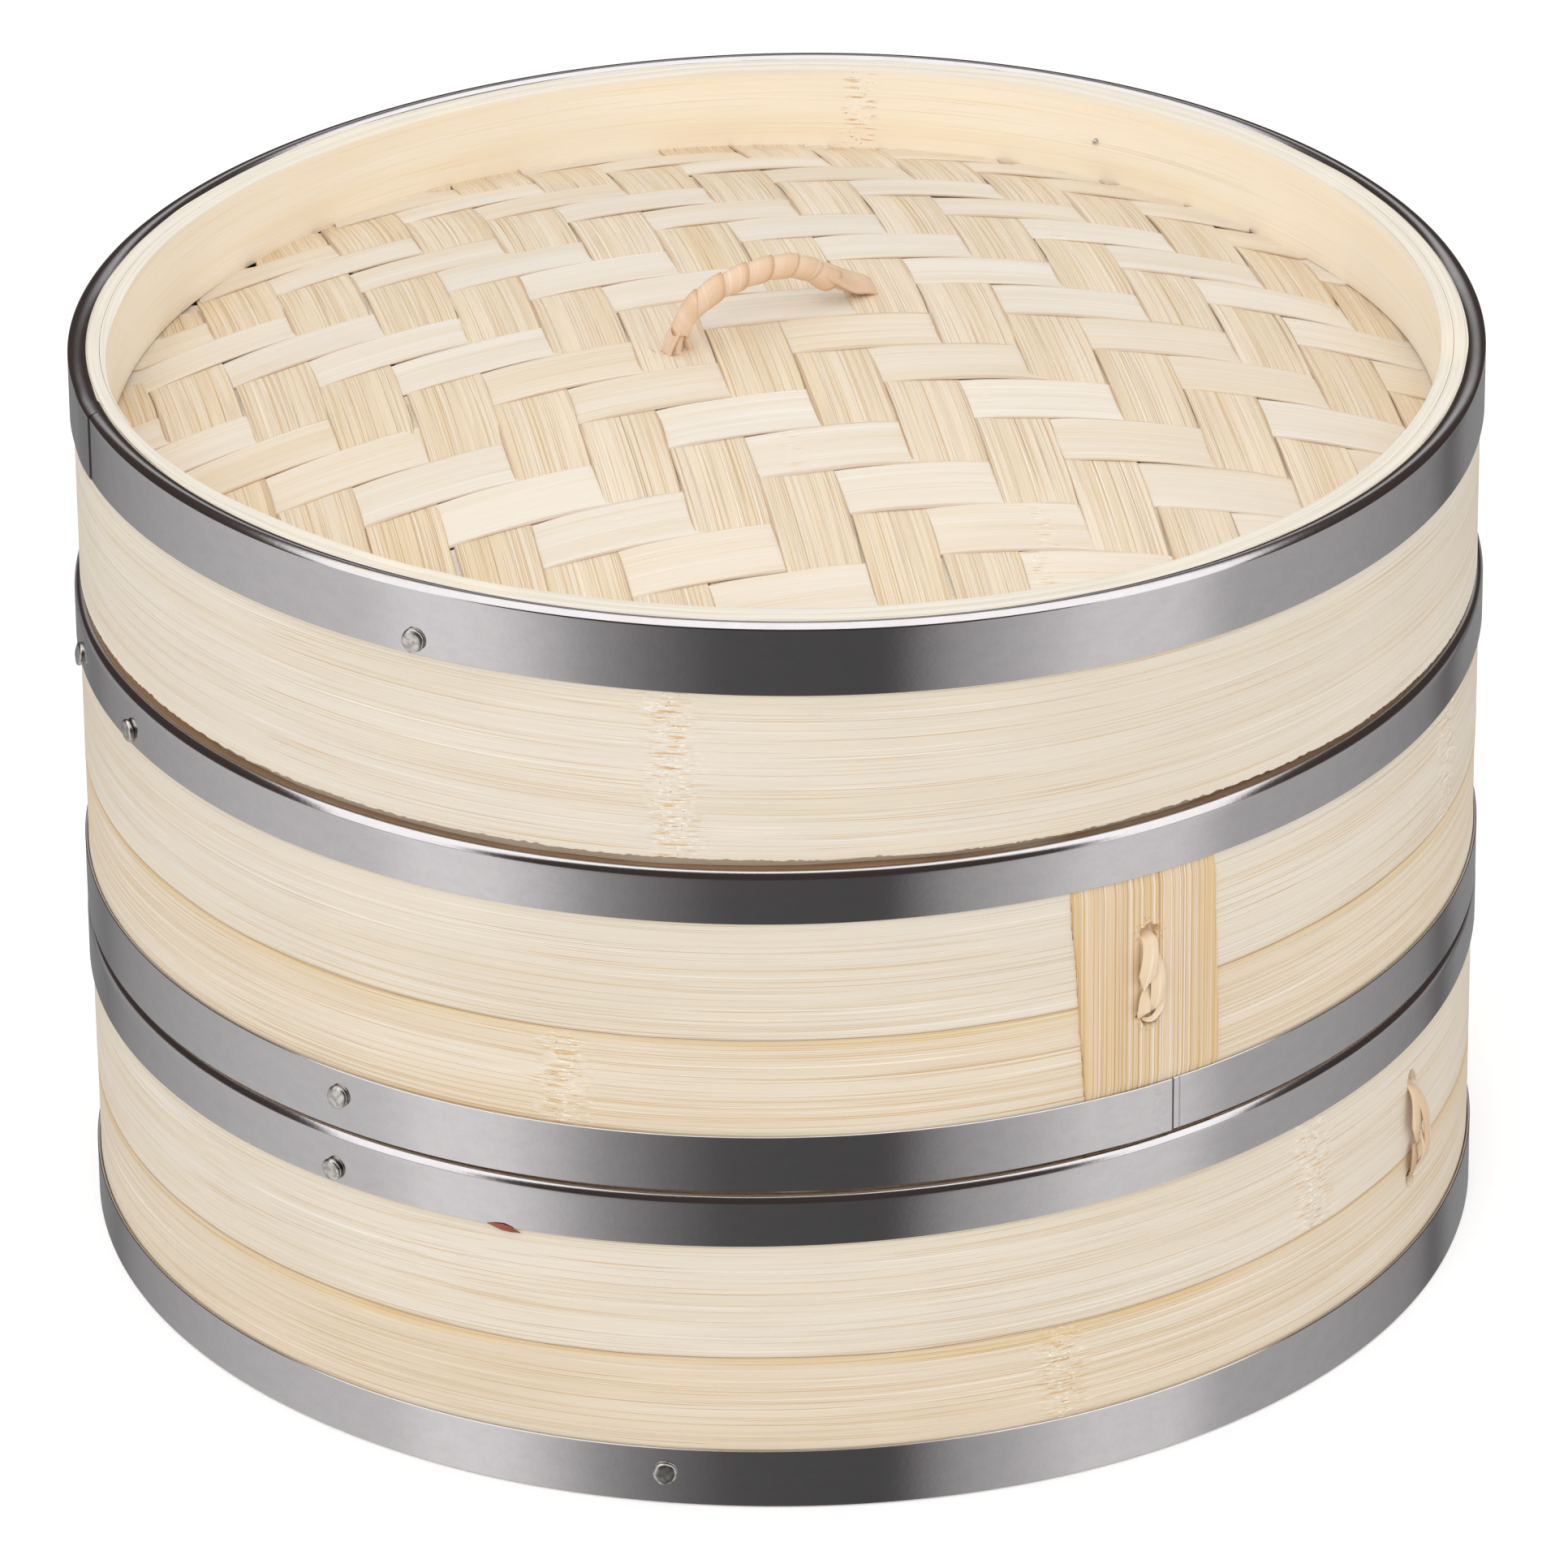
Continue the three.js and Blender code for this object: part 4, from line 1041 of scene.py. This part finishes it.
def add_frays(piece, middle, height, count, spread, seed):
    """Torn fibres round a hole, each pointing away from its middle, a little longer upwards and downwards."""
    luck = np.random.default_rng(seed)
    for _ in range(count):
        angle = luck.uniform(0, 2 * np.pi)
        u, v = math.cos(angle) * spread * 0.8, math.sin(angle) * spread
        root = on_wall(middle, u, height + v, 0.3)
        longer, higher, lift = luck.uniform(1.0, 1.8), luck.uniform(1.1, 1.7), luck.uniform(0.5, 1.0)
        tip = on_wall(middle, u * longer, height + v * higher, lift)
        length = float(np.linalg.norm(tip - root))
        inwards = -root * (1, 1, 0) / np.linalg.norm(root[:2])
        share, width = luck.uniform(0.7, 1.3), luck.uniform(0.22, 0.4)
        add_fibre(piece, root, (tip - root) / length, length * share, width, inwards * 0.2)


# Each strip's line of (along, height, lift), with heights over the table, its widths along it, and how much painted
# shade darkens it.
STITCH_STRIPS = {
    "lower_tier": [
        ([(-0.3, 44.5, -1.6), (-0.5, 42.8, 0.5), (-0.1, 37.0, 1.5), (0.9, 31.8, 1.0)], [1.2, 3.0, 4.4, 0.5], 0.06),
        (
            [
                (0.4, 44.2, -1.2), (1.3, 40.5, 1.3), (2.4, 33.5, 2.4), (2.6, 29.3, 2.0), (1.3, 26.4, 0.4),
                (0.6, 25.0, -1.6),
            ],
            [1.0, 2.2, 2.6, 2.4, 1.8, 1.0], 0.18,
        ),
        ([(0.0, 32.0, 0.8), (-0.3, 29.0, 1.2), (0.1, 25.8, 0.1), (0.4, 24.8, -1.6)], [1.0, 2.6, 2.2, 1.0], 0.45),
        ([(1.3, 34.5, 1.5), (1.5, 29.5, 2.2), (0.8, 26.0, 0.5)], [0.6, 2.2, 1.0], 0.1),
    ],
    "upper_tier": [
        (
            [(0.0, 104.2, -1.6), (0.0, 103.2, 0.6), (-0.3, 100.6, 1.7), (-1.0, 97.4, 2.1), (-1.4, 93.8, 1.3)],
            [1.8, 3.1, 3.3, 3.5, 0.3], 0.0,
        ),
        (
            [(1.1, 100.6, 0.3), (1.3, 97.6, 1.2), (1.2, 93.6, 1.8), (0.8, 90.0, 1.2), (0.4, 88.4, -0.3)],
            [1.2, 2.9, 3.1, 2.6, 0.9], 0.02,
        ),
        ([(-0.2, 94.4, 0.5), (-1.2, 91.4, 1.5), (-1.5, 89.4, 1.5), (-0.9, 87.8, -0.5)], [0.9, 2.6, 2.6, 1.4], 0.03),
        (
            [(2.4, 94.6, 0.5), (2.6, 91.4, 0.9), (1.6, 88.8, 1.2), (0.0, 87.7, 1.2), (-1.0, 87.4, -0.2)],
            [0.6, 1.3, 1.4, 1.3, 0.8], 0.0,
        ),
    ],
}  # fmt: skip
for tier, strips in STITCH_STRIPS.items():
    piece = Piece()
    at, foot, head = STITCH[tier]
    base = TIERS[tier]
    for line, wide, dark in strips:
        # Painted shade: each strip is darkened by its own amount
        add_wall_strip(piece, at, line, wide, 0.36, (0, dark, 0.04))
    torn = (60, 2.3) if base else (18, 1.4)
    add_frays(piece, at, base + head, *torn, 15 + len(tier))
    add_frays(piece, at, base + foot, *torn, 16 + len(tier))
    settle(piece)
    piece.make(tier + "_stitch", tier, STITCH_STRIP, sharp=60)


def add_patch(piece, middle, holes, low=64.5, high=123.3):
    """The strip that covers the wall's joint: a rounded rectangle carried upwards between the patch's edges, which
    stands proud of the wall between the bands, with a pit that has a raised rim at each hole (along, height)."""
    height = np.linspace(low, high, 90)
    for _, at in holes:
        height = np.concatenate([height[abs(height - at) > 2.7], at + np.linspace(-2.6, 2.6, 33)])
    height = np.sort(height)
    left, right = patch_edges(height)
    proud = 0.05 + 0.42 * smooth(height, 73.5, 76.5) * (1 - smooth(height, 112.5, 115.5))
    columns = np.sort(np.concatenate([np.linspace(-0.95, 0.95, 20), np.linspace(-0.17, 0.17, 26)]))
    shape = outline(2, columns, 2)
    u, h = section(shape, left, right, -1.2, proud, 0.22)
    left, right, height = left[:, None], right[:, None], height[:, None]
    deep = 0.3 * (h - proud[:, None])
    hole = 0
    for along, at in holes:
        around = np.arctan2(height - at, u - along)
        rim = 1 + 0.12 * np.sin(5 * around) + 0.08 * np.sin(9 * around + 2)
        near = np.hypot((u - along) / 1.9, (height - at) / 1.5) / rim
        lip = 0.2 * np.exp(-(((near - 1.18) / 0.14) ** 2))
        h = h - (shape[1] == 1) * (1.35 * smooth(1.06 - near, 0, 0.3) - lip)
        hole = np.maximum(hole, smooth(1.02 - near, 0, 0.15))
    # Painted shade: a thin dark line along the left edge, as the patch's shadow on the wall, and in the holes; the
    # yellow along both edges is the strip's own colour
    dark = np.maximum(0.25 * smooth(u, left + 0.4, left + 0.05), 0.22 * hole)
    gold = 0.7 * np.maximum(smooth(-u, -left - 2.4, -left - 0.9), smooth(u, right - 2.0, right - 0.4))
    piece.add(on_wall(middle, u, height, h), triples(height, u, deep), triples(0, dark, gold))


piece = Piece()
at, foot, head = STITCH["upper_tier"]
add_patch(piece, at, ((0.1, UPPER + head + 0.4), (0.3, UPPER + foot - 0.4)))
settle(piece)
piece.make("upper_tier_joint_patch", "upper_tier", PATCH)

piece = Piece()
fleck = [(-3.1, 52.6, 0.5), (-1.2, 52.5, 0.74), (1.0, 52.2, 0.74), (3.1, 51.7, 0.5)]
add_wall_strip(piece, -112.6, fleck, [0.15, 0.8, 1.3, 1.0, 0.1], 0.2)
settle(piece)
piece.make("lower_tier_bark_fleck", "lower_tier", BARK, node=False)


# ---------------------------------------------------------------- floor, light and camera

floor_mesh = bpy.data.meshes.new("studio_floor")
floor_mesh.from_pydata([(-6, -6, 0), (6, -6, 0), (6, 6, 0), (-6, 6, 0)], [], [(0, 1, 2, 3)])
floor = bpy.data.objects.new("studio_floor", floor_mesh)
bpy.context.scene.collection.objects.link(floor)
# The camera sees the floor a little brighter, so that it is white, and reflections see the studio through it.
f = Finish("studio_floor_pale", Base_Color=grey(0.86), Roughness=0.9, Specular_IOR_Level=0.0)
glow = f.node("Emission", {}, {"Color": grey(1.0), "Strength": f.ray("Is Camera Ray") * 0.24})
lit = f.node("AddShader", {}, {0: Wire(f, f.tree.nodes["Principled BSDF"].outputs[0]), 1: glow})
seen = f.node("MixShader", {}, {0: f.ray("Is Glossy Ray"), 1: lit, 2: f.node("BsdfTransparent")})
f.tree.links.new(seen.socket, f.tree.nodes["Material Output"].inputs["Surface"])
floor_mesh.materials.append(f.material)


class Sky(Finish):
    """The studio round the object: the same tools on the world's nodes."""

    def __init__(self, name):
        self.world = bpy.data.worlds.new(name)
        self.world.use_nodes = True
        self.tree = self.world.node_tree
        self.surface = self.tree.nodes["Background"].inputs


sky = Sky("pale_studio")
bpy.context.scene.world = sky.world
way = sky.node("TexCoord", output="Generated")
x, y, z = (sky.node("SeparateXYZ", {}, {0: way}, k) for k in range(3))
bearing = sky.node("Math", {"operation": "ARCTAN2"}, {0: y, 1: x}) * (0.5 / math.pi) + 0.5
# What the steel reflects: how pale the studio is at each bearing in degrees, dark below the object, with a long lamp
# over the camera, in the direction ahead, and a paler wall behind the object.
cards = [
    (-180, 0.70), (-160, 0.78), (-150, 1.02), (-138, 0.98), (-130, 0.75), (-120, 0.40), (-110, 0.22), (-100, 0.11),
    (-72, 0.09), (-62, 0.42), (-50, 0.62), (-38, 0.90), (-22, 0.88), (-12, 0.55), (10, 0.49), (30, 0.38), (42, 0.30),
    (50, 0.14), (60, 0.30), (110, 0.25), (120, 0.22), (130, 0.34), (150, 0.50), (170, 0.64), (180, 0.70),
]  # fmt: skip
stops = [(at / 360 + 0.5, grey(level)) for at, level in cards]
studio = sky.node("ValToRGB", {"stops": stops}, {"Fac": bearing}, "Color")
studio = sky.mix(sky.between(z, -0.2, -0.05), studio, (0.062, 0.048, 0.043, 1.0))
ahead = z * 0.2 - y * 0.98
beside = sky.between(x * x + y, 0.58, 0.74, 1.0, 0.0)
lamp = sky.between(z, -0.12, -0.02) * beside * sky.between(ahead, 0.6, 0.72, 1.0, 0.0)
studio = sky.mix(lamp, studio, grey(1.5))
behind = sky.between(y, 0.76, 0.84) * sky.between(y - z, 0.35, 0.6, 1.0, 0.0)
studio = sky.mix(behind, studio, grey(0.6))
# Only reflections see the studio: the camera and the wood's own light see an even white.
straight = sky.ray("Is Glossy Ray") * sky.between(sky.ray("Diffuse Depth"), 0.2, 0.8, 1.0, 0.0)
level = sky.mix(straight, grey(1.0), studio)
sky.feed(sky.surface["Color"], sky.mix(sky.ray("Is Camera Ray"), level, grey(1.0)))
sky.feed(sky.surface["Strength"], 1.0)

key = bpy.data.lights.new("key_soft", "SUN")
key.energy, key.angle = 0.6, math.radians(40)
key.color = (1.0, 0.985, 0.965)
key_lamp = bpy.data.objects.new("key_soft", key)
key_lamp.rotation_euler = Vector((-0.15, -0.85, 0.75)).to_track_quat("Z", "Y").to_euler()
key_lamp.visible_glossy = False
bpy.context.scene.collection.objects.link(key_lamp)

# The camera looks down at an angle onto a point near the axis, with a slight roll.
CAMERA_FAR, CAMERA_RISE, CAMERA_ROLL = 1.9362, math.radians(26.845), math.radians(-0.5)
AIM_X, AIM_Z = 0.00064, 0.07783
camera = bpy.data.cameras.new("camera")
camera.sensor_width, camera.lens = 36.0, 243.87
camera.clip_start, camera.clip_end = 0.1, 20
holder = bpy.data.objects.new("camera", camera)
holder.location = (AIM_X, -CAMERA_FAR * math.cos(CAMERA_RISE), AIM_Z + CAMERA_FAR * math.sin(CAMERA_RISE))
tilt = Euler((math.pi / 2 - CAMERA_RISE, 0, 0)).to_quaternion()
holder.rotation_euler = tilt.cross(Quaternion((0, 0, 1), CAMERA_ROLL)).to_euler()
bpy.context.scene.collection.objects.link(holder)
bpy.context.scene.camera = holder
bpy.context.scene.view_settings.view_transform = "Standard"
